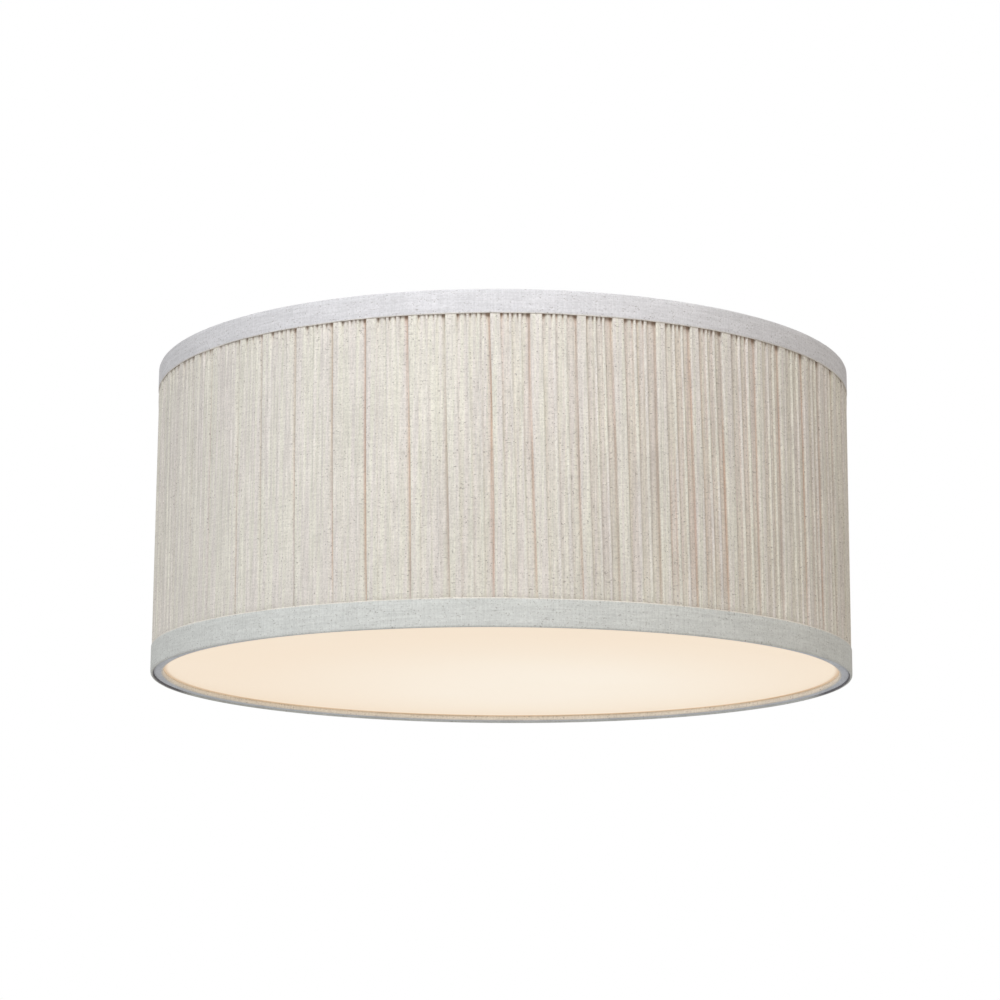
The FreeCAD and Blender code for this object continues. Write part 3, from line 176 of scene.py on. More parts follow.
def woven_colour(n, place, colour, strength=1.0, streaks=(0.55, 0.0, 0.035)):
    """Linen: threads of uneven thickness both ways, long streaks, and dark flecks in the yarn."""
    upright = n.noise(n.stretched(place, (1.25, 0.6, 0.06)), 3.0, 0.65)
    level = n.noise(n.stretched(place, (0.09, 0.6, 1.5)), 3.0, 0.65)
    grain = n.noise(n.stretched(place, (0.95, 0.8, 0.95)), 2.0, 0.6)
    cloud = n.noise(n.stretched(place, (0.03, 0.03, 0.012)), 2.0)
    threads = n.math("ADD", n.math("MULTIPLY", upright, 0.55), n.math("MULTIPLY", level, 0.45))
    shade = n.ramp(threads, 0.36, 0.64, 1 - 0.10 * strength, 1 + 0.06 * strength)
    shade = n.math("MULTIPLY", shade, n.ramp(grain, 0.3, 0.7, 1 - 0.10 * strength, 1 + 0.06 * strength))
    shade = n.math("MULTIPLY", shade, n.ramp(cloud, 0.3, 0.7, 1 - 0.03 * strength, 1 + 0.02 * strength))
    drawn = n.noise(n.stretched(place, streaks), 2.0, 0.6)
    shade = n.math("MULTIPLY", shade, n.ramp(drawn, 0.34, 0.66, 1 - 0.06 * strength, 1 + 0.05 * strength))
    fleck_round = n.noise(n.stretched(place, (0.95, 0.8, 1.05)), 1.0)
    fleck_long = n.noise(n.stretched(place, (0.34, 0.8, 1.5)), 1.0)
    fleck = n.math("MAXIMUM", n.ramp(fleck_round, 0.66, 0.74), n.ramp(fleck_long, 0.69, 0.78))
    tinted = n.add("ShaderNodeVectorMath", operation="SCALE")
    n.feed(tinted.inputs[0], colour)
    n.link(shade, tinted.inputs["Scale"])
    return n.mix(n.math("MULTIPLY", fleck, 0.6 * strength), tinted.outputs[0], (124, 116, 112)), threads


def pleat_linen():
    """Oatmeal linen with painted shade in the roots of the folds, warmed in patches by a painted glow, and a
    painted shadow where they meet the top tape.
    """
    n = Nodes("pleat_linen")
    place, radius, up = n.round_the_drum()
    root = n.ramp(radius, ROOT + 0.05, ROOT + 1.1, 1.0, 0.0)
    panel = n.ramp(radius, ROOT + 0.5, CREST - 0.3, 1.0, 0.0)
    deep = n.ramp(radius, ROOT + 0.1, ROOT + 1.0, 1.0, 0.0)
    streak = n.noise(n.stretched(place, (0.62, 0.0, 0.004)), 2.0, 0.6)
    hue = n.noise(n.stretched(place, (0.40, 0.0, 0.01)), 2.0)
    painted_glow_patches = n.noise(n.stretched(place, (0.05, 0.0, 0.004)), 1.0)
    light = n.mix(n.ramp(hue, 0.38, 0.62), (226, 225, 215), (223, 219, 215))
    # Painted shade: the panels lying back between the narrow folds are darker and pinker.
    base = n.mix(n.math("MULTIPLY", panel, 0.20), light, (214, 205, 198))
    # Painted shade in the fold roots, warm in patches as a painted glow of lamplight through the cloth.
    shadow = n.mix(n.ramp(painted_glow_patches, 0.42, 0.60), (172, 152, 138), (192, 144, 114))
    base = n.mix(n.math("MULTIPLY", root, n.ramp(streak, 0.36, 0.62, 0.22, 0.56)), base, shadow)
    # Painted shadow of the top tape, cast into the fold roots just below it.
    end = n.ramp(up, TOP_TAPE_END / MM - 3.0, TOP_TAPE_END / MM - 0.3)
    base = n.mix(n.math("MULTIPLY", n.math("MULTIPLY", end, deep), 0.7), base, (140, 112, 92))
    color, threads = woven_colour(n, place, base)
    gathers = n.noise(n.stretched(place, (0.75, 0.0, 0.006)), 2.0, 0.55)
    normal = n.bump(gathers, 0.9 * MM, 0.6)
    normal = n.bump(threads, 0.22 * MM, 0.5, normal)
    # Painted glow: a faint warm emission stands in for lamplight coming through the cloth, which is no lamp.
    n.shader.inputs["Emission Color"].default_value = tint((255, 222, 188))
    return n.finish(
        color,
        0.88,
        normal,
        Emission_Strength=0.035,
        Sheen_Weight=0.12,
        Sheen_Roughness=0.5,
        Specular_IOR_Level=0.25,
    )


def tape_linen(name, face, edge, edge_levels):
    """Cool grey-white linen tape: a painted band along its free edge, a bluer underside painted as cool
    shade, a cream lip painted as lit by the disc's glow, a dark line of painted shade in a crease.

    The painted crease shade shows where the outer fold meets the underside, on the front two thirds of the
    hem.
    """
    # Radii and levels in mm, each from where a change of colour starts to where it ends
    underside, lip = (200.8, 201.3), (196.3, 197.4)
    crease_shade_inside, crease_shade_outside = (201.05, 201.3), (201.75, 202.0)
    crease_shade_top = (BOTTOM / MM + 1.45, BOTTOM / MM + 1.55)
    crease_shade_stops_behind = (50 * MM, 78 * MM)
    n = Nodes(name)
    place, radius, up = n.round_the_drum()
    # Painted band at the free edge: a painted highlight on the bottom tape, faint painted shade on the top
    # tape.
    base = n.mix(n.ramp(up, *edge_levels), face, edge)
    # Painted cool shade: the same tape is bluer underneath.
    base = n.mix(n.ramp(radius, *underside, 1.0, 0.0), base, (226, 231, 240))
    # Painted light: the lip is cream, as if lit by the disc's glow.
    base = n.mix(n.ramp(radius, *lip, 1.0, 0.0), base, (250, 244, 234))
    # Painted shade: a dark line in the crease where the outer fold meets the underside, on the front only.
    front = n.add("ShaderNodeSeparateXYZ")
    n.link(n.object_place(), front.inputs[0])
    crease_shade_on_front = n.ramp(front.outputs[1], *crease_shade_stops_behind, 1.0, 0.0)
    crease_shade = n.math("MULTIPLY", n.ramp(radius, *crease_shade_inside), n.ramp(radius, *crease_shade_outside, 1.0, 0.0))
    crease_shade = n.math("MULTIPLY", crease_shade, n.ramp(up, *crease_shade_top, 1.0, 0.0))
    base = n.mix(n.math("MULTIPLY", n.math("MULTIPLY", crease_shade, crease_shade_on_front), 0.85), base, (96, 92, 104))
    color, threads = woven_colour(n, place, base, 0.75, streaks=(0.035, 0.0, 0.55))
    ripple = n.noise(n.stretched(place, (0.05, 0.0, 0.12)), 2.0)
    normal = n.bump(ripple, 1.2 * MM, 0.35)
    normal = n.bump(threads, 0.2 * MM, 0.45, normal)
    return n.finish(color, 0.85, normal, Sheen_Weight=0.1, Specular_IOR_Level=0.25)


def frosted_disc():
    """Acrylic with a painted glow in place of the lamps' light: even and warm, lightest round a painted hot
    spot, a little deeper towards its rim as painted shade from the ledge, with a faint mould texture.
    """
    painted_hot_spot = (25 * MM, 45 * MM, disc_low.z)
    fades_from, fades_to = 20 * MM, 205 * MM
    rim_shade_start, rim_shade_end = 192.6, 195.6  # mm
    n = Nodes("frosted_disc")
    _, radius, _ = n.round_the_drum()
    # Painted hot spot: the glow is lightest round one point and fades outward.
    away = n.add("ShaderNodeVectorMath", operation="DISTANCE")
    n.link(n.object_place(), away.inputs[0])
    away.inputs[1].default_value = painted_hot_spot
    out = n.ramp(away.outputs["Value"], fades_from, fades_to)
    # Painted shade: the glow turns deeper and browner in the last millimetres, where the ledge hides the
    # lamps.
    rim = n.ramp(radius, rim_shade_start, rim_shade_end)
    cloud = n.noise(n.stretched(n.object_place(), (9.0, 9.0, 9.0)), 2.0)
    glow = n.mix(out, (255, 244, 227), (250, 230, 205))
    glow = n.mix(rim, glow, (200, 168, 132))
    glow = n.mix(n.ramp(cloud, 0.3, 0.7, 0.0, 0.25), glow, (251, 234, 212))
    n.link(glow, n.shader.inputs["Emission Color"])
    grain = n.noise(n.stretched(n.object_place(), (900.0, 900.0, 900.0)), 2.0)
    normal = n.bump(grain, 0.05 * MM, 0.3)
    return n.finish(tint((120, 116, 110)), 0.42, normal, Emission_Strength=0.78, Specular_IOR_Level=0.3)


def speckled(name, colour, dark, roughness, metal=0.0, bump=0.08, **sockets):
    """Paint, plate or moulding with a slight mottle and a fine surface."""
    coarse, dense = 260 / 6, 260 * 6
    n = Nodes(name)
    place = n.object_place()
    mottle = n.noise(n.stretched(place, (coarse, coarse, coarse)), 3.0)
    fine = n.noise(n.stretched(place, (dense, dense, dense)), 2.0)
    color = n.mix(n.ramp(mottle, 0.35, 0.65), dark, colour)
    rough = n.ramp(mottle, 0.3, 0.7, roughness * 0.85, min(1.0, roughness * 1.15))
    return n.finish(color, rough, n.bump(fine, bump * MM, 0.35), Metallic=metal, **sockets)


def rolled_metal(name, colour, dark, roughness, direction):
    """Rolled or drawn metal: fine lines along one direction, and small smudges."""
    n = Nodes(name)
    place = n.object_place()
    lines = n.noise(n.stretched(place, direction), 3.0, 0.7)
    smudge = n.noise(n.stretched(place, (60.0, 60.0, 60.0)), 3.0)
    color = n.mix(n.ramp(lines, 0.3, 0.7), dark, colour)
    rough = n.ramp(smudge, 0.3, 0.7, roughness * 0.8, roughness * 1.25)
    return n.finish(color, rough, n.bump(lines, 0.05 * MM, 0.3), Metallic=1.0)


def glowing_globe():
    """Opal plastic, lit from inside, a little dimmer towards the housing."""
    near_housing, far_end = 92.0, 128.0  # mm from the drum's axis
    n = Nodes("glowing_globe")
    _, radius, _ = n.round_the_drum()
    outward = n.ramp(radius, near_housing, far_end)
    glow = n.mix(outward, (255, 214, 160), (255, 240, 214))
    n.link(glow, n.shader.inputs["Emission Color"])
    fine = n.noise(n.stretched(n.object_place(), (1500.0, 1500.0, 1500.0)), 2.0)
    return n.finish(tint((236, 230, 220)), 0.35, n.bump(fine, 0.03 * MM, 0.3), Emission_Strength=0.95)


def glass_fibre():
    """Yellow glass fibre mat: matted strands running every way."""
    n = Nodes("glass_fibre")
    place = n.object_place()
    strands = n.noise(n.stretched(place, (420.0, 120.0, 300.0)), 4.0, 0.7)
    across = n.noise(n.stretched(place, (120.0, 420.0, 300.0)), 4.0, 0.7)
    both = n.math("MAXIMUM", strands, across)
    color = n.mix(n.ramp(both, 0.42, 0.68), (196, 158, 82), (240, 219, 158))
    return n.finish(color, 0.95, n.bump(both, 1.2 * MM, 0.6), Sheen_Weight=0.25)


def liner_sheet():
    """Translucent styrene, with a warm painted glow standing for the lamps' light on it."""
    foot, head = -170.0, -20.0  # mm
    n = Nodes("liner_sheet")
    place, _, up = n.round_the_drum()
    level = n.ramp(up, foot, head)
    # Painted glow: the liner is no lamp.
    glow = n.mix(level, (255, 226, 186), (255, 214, 168))
    n.link(glow, n.shader.inputs["Emission Color"])
    cloud = n.noise(n.stretched(place, (0.02, 0.0, 0.02)), 2.0)
    color = n.mix(n.ramp(cloud, 0.3, 0.7), (236, 230, 218), (243, 238, 228))
    return n.finish(color, 0.5, n.bump(cloud, 0.4 * MM, 0.2), Emission_Strength=0.16)


def insulated(name, colour):
    """Glossy insulation with a slight wave along the lead."""
    n = Nodes(name)
    wave = n.noise(n.stretched(n.object_place(), (300.0, 300.0, 300.0)), 2.0)
    darker = tuple(c * 0.82 for c in colour)
    color = n.mix(n.ramp(wave, 0.35, 0.65), darker, colour)
    return n.finish(color, 0.34, n.bump(wave, 0.1 * MM, 0.3), Coat_Weight=0.2)


def two_coloured_ground():
    """The bonding lead: green insulation, and tinned terminals within a few millimetres of its ends."""
    green_from, tin_from = 16.4 * MM, 16.0 * MM  # towards the back, and towards the front
    n = Nodes("ground_lead")
    split = n.add("ShaderNodeSeparateXYZ")
    n.link(n.object_place(), split.inputs[0])
    metal = n.ramp(split.outputs[1], green_from, tin_from)
    wave = n.noise(n.stretched(n.object_place(), (300.0, 300.0, 300.0)), 2.0)
    green = n.mix(n.ramp(wave, 0.35, 0.65), (38, 110, 56), (52, 134, 70))
    tin = n.mix(n.ramp(wave, 0.35, 0.65), (176, 178, 180), (206, 208, 210))
    return n.finish(n.mix(metal, green, tin), 0.36, n.bump(wave, 0.06 * MM, 0.3), Metallic=metal)


# ---------------------------------------------------------------------- meshes


def mesh_piece(name, points, faces, material):
    """A smooth-shaded object of its own from points and faces."""
    mesh = bpy.data.meshes.new(name)
    mesh.from_pydata(points, [], faces)
    mesh.validate()
    mesh.polygons.foreach_set("use_smooth", [True] * len(mesh.polygons))
    mesh.materials.append(material)
    piece = bpy.data.objects.new(name, mesh)
    bpy.context.scene.collection.objects.link(piece)
    return piece


def grid_faces(rows, columns, closed_rows=False):
    """Quads between rows of points, each row closed round the drum."""
    faces = []
    for i in range(rows if closed_rows else rows - 1):
        low, high = i * columns, ((i + 1) % rows) * columns
        for j in range(columns):
            k = (j + 1) % columns
            faces.append((low + j, low + k, high + k, high + j))
    return faces


GROUPS = 57  # folds come in groups: a broad one and two narrow ones, about 22 mm
CREST, ROOT = 202.8, 200.95  # mm from the axis
TUCKED_CREST = 202.45  # mm, where a tape covers the cloth
# Along one group: how far, and the height of the cloth there, for folded and for flatly drawn cloth
SECTION = [
    (0.000, 0.00, 0.00), (0.010, 0.02, 0.02), (0.020, 0.30, 0.20), (0.028, 0.86, 0.80), (0.036, 1.00, 0.96),
    (0.055, 1.00, 1.00), (0.110, 0.95, 0.97), (0.170, 0.94, 0.95), (0.225, 0.97, 0.94), (0.258, 0.98, 0.93),
    (0.270, 0.88, 0.90), (0.280, 0.52, 0.84), (0.290, 0.30, 0.80), (0.305, 0.24, 0.78), (0.350, 0.34, 0.80),
    (0.410, 0.40, 0.83), (0.462, 0.34, 0.82), (0.480, 0.30, 0.78), (0.492, 0.55, 0.82), (0.500, 0.86, 0.87),
    (0.514, 0.95, 0.90), (0.534, 0.93, 0.90), (0.550, 0.82, 0.88), (0.562, 0.48, 0.82), (0.576, 0.30, 0.78),
    (0.620, 0.36, 0.81), (0.670, 0.40, 0.83), (0.705, 0.32, 0.80), (0.722, 0.28, 0.76), (0.734, 0.55, 0.82),
    (0.742, 0.84, 0.86), (0.756, 0.92, 0.89), (0.776, 0.90, 0.88), (0.792, 0.78, 0.86), (0.804, 0.44, 0.80),
    (0.818, 0.28, 0.77), (0.860, 0.34, 0.79), (0.915, 0.34, 0.62), (0.955, 0.26, 0.28), (0.978, 0.10, 0.08),
    (0.990, 0.02, 0.02),
]


def bell(x, width):
    return math.exp(-((x / width) ** 2))


def from_front(angle):
    """Degrees from the front of the drum, -180 to 180, growing to the right."""
    return math.degrees((angle - FRONT + math.pi) % FULL - math.pi)


def drawn_flat(angle):
    """How flatly the cloth is drawn: most on the front left, folded crisply elsewhere."""
    flattest, width = -46, 40  # degrees
    return bell(from_front(angle) - flattest, width)


def lean_of(angle):
    """How far a fold's foot stands to the right of its head, seen from outside, in metres."""
    most, less = 4.1, 3.3  # mm: the usual lean, and how much of it goes where the folds stand upright
    upright, width = -62, 42  # degrees
    return (most - less * bell(from_front(angle) - upright, width)) * MM


def pleated_cloth():
    """The gathered linen, one closed skin from tape to tape, folds running down it."""
    rng = random.Random(7)
    pitch = FULL / GROUPS
    first = FRONT + math.radians(-1.4)
    uneven = 0.11  # of a group's width, that it may stand off its place
    starts = [first + k * pitch + pitch * uneven * rng.uniform(-1, 1) for k in range(GROUPS)]
    leans = [lean_of(start) * rng.uniform(0.85, 1.15) for start in starts]
    depths = [rng.uniform(0.84, 1.0) for _ in range(GROUPS)]
    openings = [rng.uniform(-0.85, 0.85) for _ in range(GROUPS)]
    phases = [rng.uniform(0, FULL) for _ in range(GROUPS)]
    shifts = [[rng.uniform(-1, 1) for _ in SECTION] for _ in range(GROUPS)]
    low, high = liner_low.z, liner_high.z
    visible_low, visible_high = BOTTOM_TAPE_END, TOP_TAPE_END
    drop = visible_high - visible_low
    rows, tuck = 40, 0.4 * MM
    levels = [low, visible_low - tuck]
    levels += [visible_low + drop * k / rows for k in range(rows - 1)]
    levels += [visible_high - depth * MM for depth in (6.5, 4.6, 3.0, 1.8, 0.9, 0.3, 0.0)]
    levels += [visible_high + tuck, high]
    sway_size, sway_rate, lean_middle = 0.35 * MM, 3.2, 0.45

    def start_of(k, z):
        turns, k = divmod(k, GROUPS)
        down = (visible_high - z) / drop
        sway = sway_size * math.sin(phases[k] + sway_rate * down)
        return starts[k] + turns * FULL + (leans[k] * (down - lean_middle) + sway) / TAPE_RADIUS

    # Depths in mm below the top tape: of the gathers, of the bulge under them, of the pull that smooths them
    gather_depth, bulge_depth, pull_start, pull_length = 3.2, 4.5, 1.5, 20
    press_height = 9  # mm above the bottom tape, where the folds lie flatter
    bulge, press, notch = 0.25, 0.35, 0.55
    least_flat = 0.35  # of the flat drawing, that reaches up into the gathers
    panel_floor, panel_rise, panel_top = 0.3, 0.1, 0.45  # heights of the panels between narrow folds
    ripple, ripple_rate, stray, stray_rate = 0.05, 40, 0.006, 9
    points = []
    for z in levels:
        from_top = (visible_high - z) / MM
        from_bottom = (z - visible_low) / MM
        tucked = from_top < 0 or from_bottom < 0
        down = (visible_high - z) / drop
        gathered = bell(max(from_top, 0.0), gather_depth)
        puff = bulge * bell(from_top - bulge_depth, bulge_depth) if from_top > 0 else 0.0
        pressed = press * bell(from_bottom, press_height)
        pulled = min(1.0, max(0.0, (from_top - pull_start) / pull_length))
        pulled = pulled * pulled * (3 - 2 * pulled)
        for k in range(GROUPS):
            here, after = start_of(k, z), start_of(k + 1, z)
            flat = drawn_flat(starts[k]) * (least_flat + (1 - least_flat) * pulled)
            for index, (along, folded, drawn) in enumerate(SECTION):
                height = folded + flat * (drawn - folded)
                height = 1 - (1 - height) * depths[k] * (1 - pressed / 2)
                height += (1 - height) * flat * max(0.0, openings[k] * (2 * down - 1))
                above = min(1.0, max(0.0, (folded - panel_floor) / panel_rise))
                panel = above if folded < panel_top else 0.0
                height += gathered * (1 - height) * (2 * notch * panel - notch)
                wave = ripple * shifts[k][index] * math.sin(phases[k] + index + ripple_rate * z)
                crest = TUCKED_CREST if tucked else CREST + puff * height
                radius = ROOT + (crest - ROOT) * min(1.0, max(0.0, height + wave * (1 - height)))
                spread = stray * shifts[k][index] * math.sin(stray_rate * z + phases[k])
                turn = here + (along + spread) * (after - here)
                points.append((radius * MM * math.cos(turn), radius * MM * math.sin(turn), z))
    columns = GROUPS * len(SECTION)
    piece = mesh_piece("pleated_cloth", points, grid_faces(len(levels), columns), pleat_linen())
    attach(piece, "shade")
    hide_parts("pleated_cover")
    height = high - low


def tape(name, node, section, outside, ripple, material):
    """A folded tape: its closed section turned round the drum, with its two ends lapping at a seam.

    The section's first points up to outside are the tape's outer side, which gives its flat width.
    """
    rng = random.Random(len(name))
    waves = [(rng.randint(3, 34), rng.uniform(0, FULL), rng.uniform(0.3, 1.0)) for _ in range(9)]
    columns = 720
    seam, lap = math.radians(159), math.radians(9)
    rise, fall = math.radians(0.35), math.radians(4)
    thickness, waviness = 0.42, 0.05  # mm that the lap stands out, and that the face waves
    points = []
    for radius, z, free, outer in section:
        for j in range(columns):
            turn = FULL * j / columns
            wave = sum(size * math.sin(count * turn + phase) for count, phase, size in waves) / 3
            past = (turn - seam) % FULL
            step = min(1.0, past / rise) * (1 - min(1.0, max(0.0, past - lap) / fall))
            out = radius + outer * (thickness * step + waviness * wave)
            up = z + free * ripple * wave
            points.append((out * MM * math.cos(turn), out * MM * math.sin(turn), up * MM))
    faces = grid_faces(len(section), columns, closed_rows=True)
    piece = mesh_piece(name, points, faces, material)
    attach(piece, "shade")
    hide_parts(node)
    edges = zip(section[1:outside], section[2:outside + 1])
    width = sum(math.dist(start[:2], stop[:2]) for start, stop in edges) * MM


def make_tapes():
    """Sections are radius and level in mm, how freely the point ripples, and if it is on the outside."""
    top, bottom = TOP / MM, BOTTOM / MM
    end, base = TOP_TAPE_END / MM, BOTTOM_TAPE_END / MM
    outer, inner = TAPE_RADIUS / MM, TAPE_RADIUS / MM - TAPE / MM
    top_section = [
        (inner, end + 0.1, 1, 0), (inner + 0.25, end, 1, 0.6), (outer - 0.1, end + 0.05, 1, 1),
        (outer, end + 0.35, 1, 1), (outer, end + 3, 0.5, 1), (outer, end + 6.5, 0.2, 1),
        (outer, top - 2.5, 0, 1), (outer - 0.05, top - 0.9, 0, 1), (outer - 0.3, top - 0.3, 0, 0.6),
        (outer - 0.8, top, 0, 0), (201, top, 0, 0), (198, top, 0, 0), (196, top, 0, 0),
        (195.4, top - 0.25, 0, 0), (195.15, top - 0.8, 0, 0), (195.1, top - 2.4, 0, 0),
        (195.1, top - 4, 0.5, 0), (195.7, top - 4, 0.5, 0), (195.7, top - 0.7, 0, 0),
        (inner, top - 0.65, 0, 0), (inner, top - 6, 0, 0),
    ]
    bottom_section = [
        (inner, base - 0.1, 1, 0), (inner + 0.25, base, 1, 0.6), (outer - 0.1, base - 0.05, 1, 1),
        (outer, base - 0.35, 1, 1), (outer, base - 3, 0.5, 1), (outer, base - 7, 0.2, 1),
        (outer, bottom + 3, 0, 1), (outer - 0.03, bottom + 1.3, 0, 1),
        (outer - 0.15, bottom + 0.6, 0, 0.8), (outer - 0.45, bottom + 0.15, 0, 0.5),
        (outer - 0.9, bottom, 0, 0.3), (outer - 1.3, bottom + 0.1, 0, 0),
        (outer - 1.6, bottom + 0.35, 0, 0), (outer - 1.75, bottom + 0.75, 0, 0),
        (outer - 1.85, bottom + 1.2, 0, 0), (outer - 1.98, bottom + 1.35, 0, 0),
        (outer - 2.15, bottom + 1.15, 0, 0), (outer - 2.5, bottom + 1, 0, 0),
        (199.5, bottom + 1, 0, 0), (198.2, bottom + 1, 0, 0), (196.9, bottom + 1, 0, 0),
        (196.1, bottom + 1.2, 0, 0), (195.85, bottom + 1.7, 0, 0), (195.8, bottom + 2.7, 0, 0),
        (195.8, bottom + 3.7, 0, 0), (196.4, bottom + 3.7, 0, 0), (196.4, bottom + 1.65, 0, 0),
        (inner, bottom + 1.62, 0, 0), (inner, bottom + 7, 0, 0),
    ]
    ripple = 0.16  # mm that the tapes' free edges stray up and down
    # The two tapes are one cloth: the bottom tape's darker face is painted shade, its pale top edge a
    # painted highlight, and the top tape's warmer lower edge faint painted shade.
    upper = tape_linen("top_tape_linen", (221, 221, 225), (222, 218, 212), (end + 0.9, end))
    lower = tape_linen("bottom_tape_linen", (218, 221, 219), (240, 236, 228), (base - 0.9, base - 0.2))
    tape("top_tape", "top_trim", top_section, 16, ripple, upper)
    tape("bottom_tape", "bottom_trim", bottom_section, 24, ripple, lower)


def insulation_mat():
    """The fibre mat that fills the pan: a soft-edged ring with an uneven top, pressed down in three hollows
    at the studs.
    """
    low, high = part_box("insulation_pad")
    rng = random.Random(3)
    bumps = [(rng.uniform(18, 60), rng.uniform(18, 60), rng.uniform(0, FULL)) for _ in range(7)]
    columns, hole, stud_circle = 180, 5.5 * MM, 110 * MM
    stud_azimuths = (30, 150, 270)  # degrees
    roughness, settled, stud_sink = 0.8 * MM, 0.9 * MM, 4 * MM
    inner, outer = 49 * MM, high.y
    section = [(inner + 2 * MM, low.z), (inner + 0.4 * MM, low.z + 1.2 * MM), (inner, (low.z + high.z) / 2)]
    section += [(inner + 0.8 * MM, high.z - 1.4 * MM), (inner + 3 * MM, high.z - 0.2 * MM)]
    steps = 26
    section += [(inner + (outer - inner) * (k / steps), high.z) for k in range(2, steps - 1)]
    section += [(outer - 2.5 * MM, high.z - 0.4 * MM), (outer - 0.5 * MM, high.z - 2 * MM)]
    section += [(outer, (low.z + high.z) / 2), (outer - 0.6 * MM, low.z + 1 * MM), (outer - 2 * MM, low.z)]
    points = []
    for radius, z in section:
        for j in range(columns):
            turn = FULL * j / columns
            x, y = radius * math.cos(turn), radius * math.sin(turn)
            rough = sum(math.sin(a * x + phase) * math.cos(b * y - phase) for a, b, phase in bumps) / 7
            sink = 0.0
            for azimuth in stud_azimuths:
                gap = math.hypot(
                    x - stud_circle * math.cos(math.radians(azimuth)),
                    y - stud_circle * math.sin(math.radians(azimuth)),
                )
                sink = max(sink, bell(gap, 1.5 * hole))
            top = z > low.z + 1.5 * MM
            lift = (roughness * rough - settled - stud_sink * sink) if top else 0.0
            points.append((x, y, z + lift))
    faces = grid_faces(len(section), columns, closed_rows=True)
    piece = mesh_piece("insulation_mat", points, faces, glass_fibre())
    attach(piece, "canopy")
    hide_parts("insulation_pad")


def lamp_threads(material):
    """The rolled thread of each lamp cap: one rounded ridge winding along the cap."""
    start, pitch, turns = 43.4 * MM, 3.629 * MM, 4.8
    root, crest = 12.25 * MM, 13.15 * MM
    columns, fade_steps, overlap = 48, 12, 0.98
    profile = [(-0.5, 0.0), (-0.3, 0.35), (-0.12, 0.9), (0.0, 1.0), (0.12, 0.9), (0.3, 0.35), (0.5, 0.0)]
    count = int(columns * turns)
    for number, azimuth in enumerate(LAMP_AZIMUTHS, start=1):
        place = Matrix.Translation((0, 0, LAMP_LEVEL)) @ Matrix.Rotation(azimuth, 4, "Z")
        points = []
        for j in range(count + 1):
            turn = FULL * j / columns
            fade = min(1.0, j / fade_steps, (count - j) / fade_steps)
            for shift, height in profile:
                radius = root + (crest - root) * height * fade
                along = start + pitch * (j / columns + shift * overlap)
                points.append(place @ Vector((along, radius * math.cos(turn), radius * math.sin(turn))))
        wide = len(profile)
        faces = [
            (j * wide + i, j * wide + i + 1, (j + 1) * wide + i + 1, (j + 1) * wide + i)
            for j in range(count)
            for i in range(wide - 1)
        ]
        piece = mesh_piece(f"lamp_thread_{number}", points, faces, material)
        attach(piece, f"lamp_{number}")


# ---------------------------------------------------------------- CAD nodes' looks


def dress_nodes():
    """Gives every CAD node that shows its finish."""
    white = speckled("white_enamel", (226, 226, 222), (216, 216, 212), 0.42, bump=0.12)
    zinc = rolled_metal("zinc_plate", (204, 206, 208), (168, 171, 174), 0.34, (900.0, 160.0, 160.0))
    brass = rolled_metal("spun_brass", (214, 176, 96), (176, 138, 66), 0.3, (200.0, 200.0, 1200.0))
    cap = rolled_metal("cap_metal", (206, 206, 208), (182, 183, 186), 0.3, (300.0, 300.0, 300.0))
    porcelain = speckled("porcelain", (238, 234, 224), (228, 223, 212), 0.16, bump=0.03, Coat_Weight=0.3)
    looks = {
        "mounting_strap": zinc,
        "ground_screw": speckled("green_screw", (46, 120, 66), (34, 96, 52), 0.3, metal=0.6),
        "ceiling_pan": white,
        "pan_screws": zinc,
        "wire_bushing": speckled("black_moulding", (40, 40, 42), (30, 30, 32), 0.5),
        "shade_studs": zinc,
        "bracket_rivets": zinc,
        "ground_rivet": zinc,
        "ground_lead": two_coloured_ground(),
        "socket_screws": zinc,
        "live_leads": insulated("black_insulation", (46, 46, 48)),
        "neutral_leads": insulated("white_insulation", (228, 226, 220)),
        "live_connector": speckled("orange_moulding", (226, 122, 44), (204, 102, 32), 0.45),
        "neutral_connector": speckled("orange_moulding_two", (226, 122, 44), (204, 102, 32), 0.45),
        "shade_top_ring": white,
        "fitter_ring": white,
        "shade_bottom_ring": white,
        "shade_liner": liner_sheet(),
        "diffuser_panel": frosted_disc(),
    }
    globe = glowing_globe()
    housing = speckled("lamp_housing", (238, 237, 233), (230, 229, 224), 0.38, bump=0.04)
    tip = speckled("solder_and_glass", (118, 118, 122), (60, 60, 64), 0.3, metal=0.5)
    for number in (1, 2, 3):
        looks[f"socket_bracket_{number}"] = zinc
        looks[f"socket_{number}"] = porcelain
        looks[f"screw_shell_{number}"] = brass
        looks[f"centre_contact_{number}"] = brass
        looks[f"lamp_tip_{number}"] = tip
        looks[f"lamp_cap_{number}"] = cap
        looks[f"lamp_collar_{number}"] = housing
        looks[f"lamp_globe_{number}"] = globe
        looks[f"spider_arm_{number}"] = white
    for node, material in looks.items():
        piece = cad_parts[node]
        for place in piece.material_slots:
            place.material = material
    lamp_threads(cap)


# ----------------------------------------------------------------- light and view


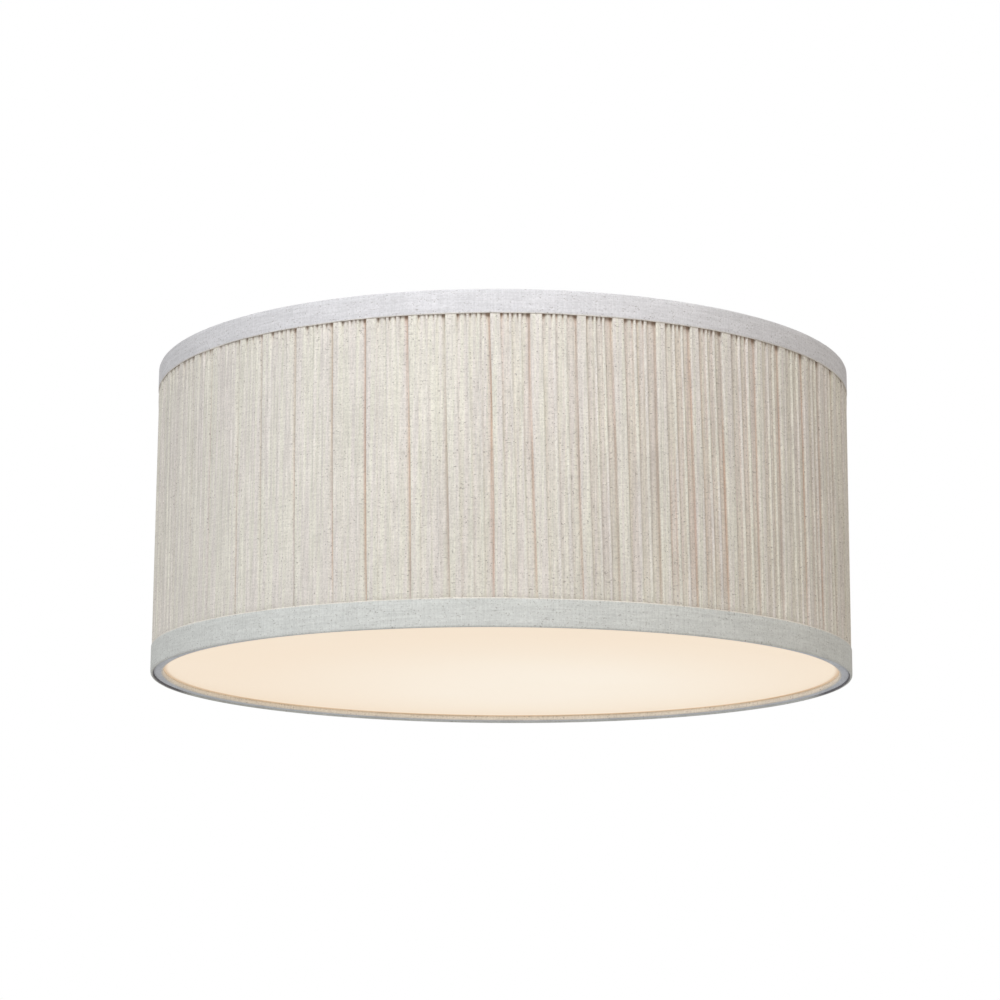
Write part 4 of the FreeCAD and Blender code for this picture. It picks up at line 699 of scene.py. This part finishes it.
def make_stage():
    """A plain pale floor, a white surround for the camera, and soft studio light."""
    bpy.ops.mesh.primitive_plane_add(size=14, location=(0, 0, -1.5))
    floor = bpy.context.object
    floor.name = "floor"
    n = Nodes("pale_floor")
    floor.data.materials.append(n.finish(tint((236, 236, 236)), 0.8))

    dim_below, dim_above = 0.40, 0.46
    left_light, right_light = (1.00, 1.01, 1.01, 1), (1.04, 0.97, 0.89, 1)
    world = bpy.data.worlds.new("studio")
    bpy.context.scene.world = world
    world.use_nodes = True
    tree = world.node_tree
    for node in list(tree.nodes):
        tree.nodes.remove(node)
    path = tree.nodes.new("ShaderNodeLightPath")
    place = tree.nodes.new("ShaderNodeTexCoord")
    split = tree.nodes.new("ShaderNodeSeparateXYZ")
    tree.links.new(place.outputs["Generated"], split.inputs[0])
    spread = tree.nodes.new("ShaderNodeMapRange")
    tree.links.new(split.outputs[2], spread.inputs[0])
    for index, value in enumerate((-1.0, 1.0, dim_below, dim_above), start=1):
        spread.inputs[index].default_value = value
    across = tree.nodes.new("ShaderNodeMapRange")
    tree.links.new(split.outputs[0], across.inputs[0])
    for index, value in enumerate((-1.0, 1.0, 0.0, 1.0), start=1):
        across.inputs[index].default_value = value
    sides = tree.nodes.new("ShaderNodeMix")
    sides.data_type = "RGBA"
    tree.links.new(across.outputs[0], sides.inputs[0])
    for index, colour in zip(MIX_COLOURS, (left_light, right_light)):
        sides.inputs[index].default_value = colour
    light = tree.nodes.new("ShaderNodeBackground")
    tree.links.new(sides.outputs[MIX_RESULT], light.inputs["Color"])
    tree.links.new(spread.outputs[0], light.inputs["Strength"])
    seen = tree.nodes.new("ShaderNodeBackground")
    seen.inputs["Color"].default_value = (1, 1, 1, 1)
    seen.inputs["Strength"].default_value = 1.0
    camera_ray = path.outputs["Is Camera Ray"]
    other_rays = (path.outputs["Is Glossy Ray"], path.outputs["Is Transmission Ray"])
    for other in other_rays:
        add = tree.nodes.new("ShaderNodeMath")
        add.operation = "MAXIMUM"
        tree.links.new(camera_ray, add.inputs[0])
        tree.links.new(other, add.inputs[1])
        camera_ray = add.outputs[0]
    mix = tree.nodes.new("ShaderNodeMixShader")
    tree.links.new(camera_ray, mix.inputs[0])
    tree.links.new(light.outputs[0], mix.inputs[1])
    tree.links.new(seen.outputs[0], mix.inputs[2])
    out = tree.nodes.new("ShaderNodeOutputWorld")
    tree.links.new(mix.outputs[0], out.inputs["Surface"])


def area_light(name, place, target, size, power, colour=(255, 255, 255)):
    """A round lamp of a size in metres and a power in watts, turned to its target."""
    data = bpy.data.lights.new(name, "AREA")
    data.shape = "DISK"
    data.size = size
    data.energy = power
    data.color = tint(colour)[:3]
    lamp = bpy.data.objects.new(name, data)
    lamp.location = place
    lamp.rotation_mode = "QUATERNION"
    lamp.rotation_quaternion = (Vector(target) - Vector(place)).to_track_quat("-Z", "Y")
    bpy.context.scene.collection.objects.link(lamp)


def make_camera():
    """The photograph's view: a long lens a little below the light, looking slightly up."""
    back, below = 8.1185 * TAPE_RADIUS, 1.1131 * TAPE_RADIUS
    pitch, roll, side = math.radians(11.435), math.radians(-0.293), -0.0064 * TAPE_RADIUS
    focal_pixels, picture_pixels, sensor = 2851.3, 1000, 36
    ahead = Vector((0, math.cos(pitch), math.sin(pitch)))
    level_up = Vector((0, -math.sin(pitch), math.cos(pitch)))
    level_right = Vector((1, 0, 0))
    right = level_right * math.cos(roll) - level_up * math.sin(roll)
    up = level_right * math.sin(roll) + level_up * math.cos(roll)
    data = bpy.data.cameras.new("camera")
    data.sensor_width = sensor
    data.lens = focal_pixels * sensor / picture_pixels
    data.clip_start, data.clip_end = 0.05, 60
    camera = bpy.data.objects.new("camera", data)
    turn = Matrix((right, up, -ahead)).transposed()
    camera.matrix_world = Matrix.Translation((side, -back, BOTTOM - below)) @ turn.to_4x4()
    bpy.context.scene.collection.objects.link(camera)
    bpy.context.scene.camera = camera


pleated_cloth()
make_tapes()
insulation_mat()
dress_nodes()
make_stage()
middle = (0, 0, (TOP + BOTTOM) / 2)
area_light("key", (-0.32, -1.25, 0.80), middle, 0.7, 5.1)
area_light("upper", (0.0, -0.45, 0.20), (0, -0.2, -0.03), 0.25, 0.48, (250, 252, 255))
area_light("low_left", (-0.9, -0.75, -0.35), middle, 0.6, 2.35)
area_light("low_right", (0.9, -0.75, -0.35), middle, 0.6, 1.2, (255, 241, 222))
area_light("fill", (0.9, -2.4, 0.5), middle, 1.6, 4, (255, 252, 248))
make_camera()

scene = bpy.context.scene
scene.view_settings.view_transform = "Standard"
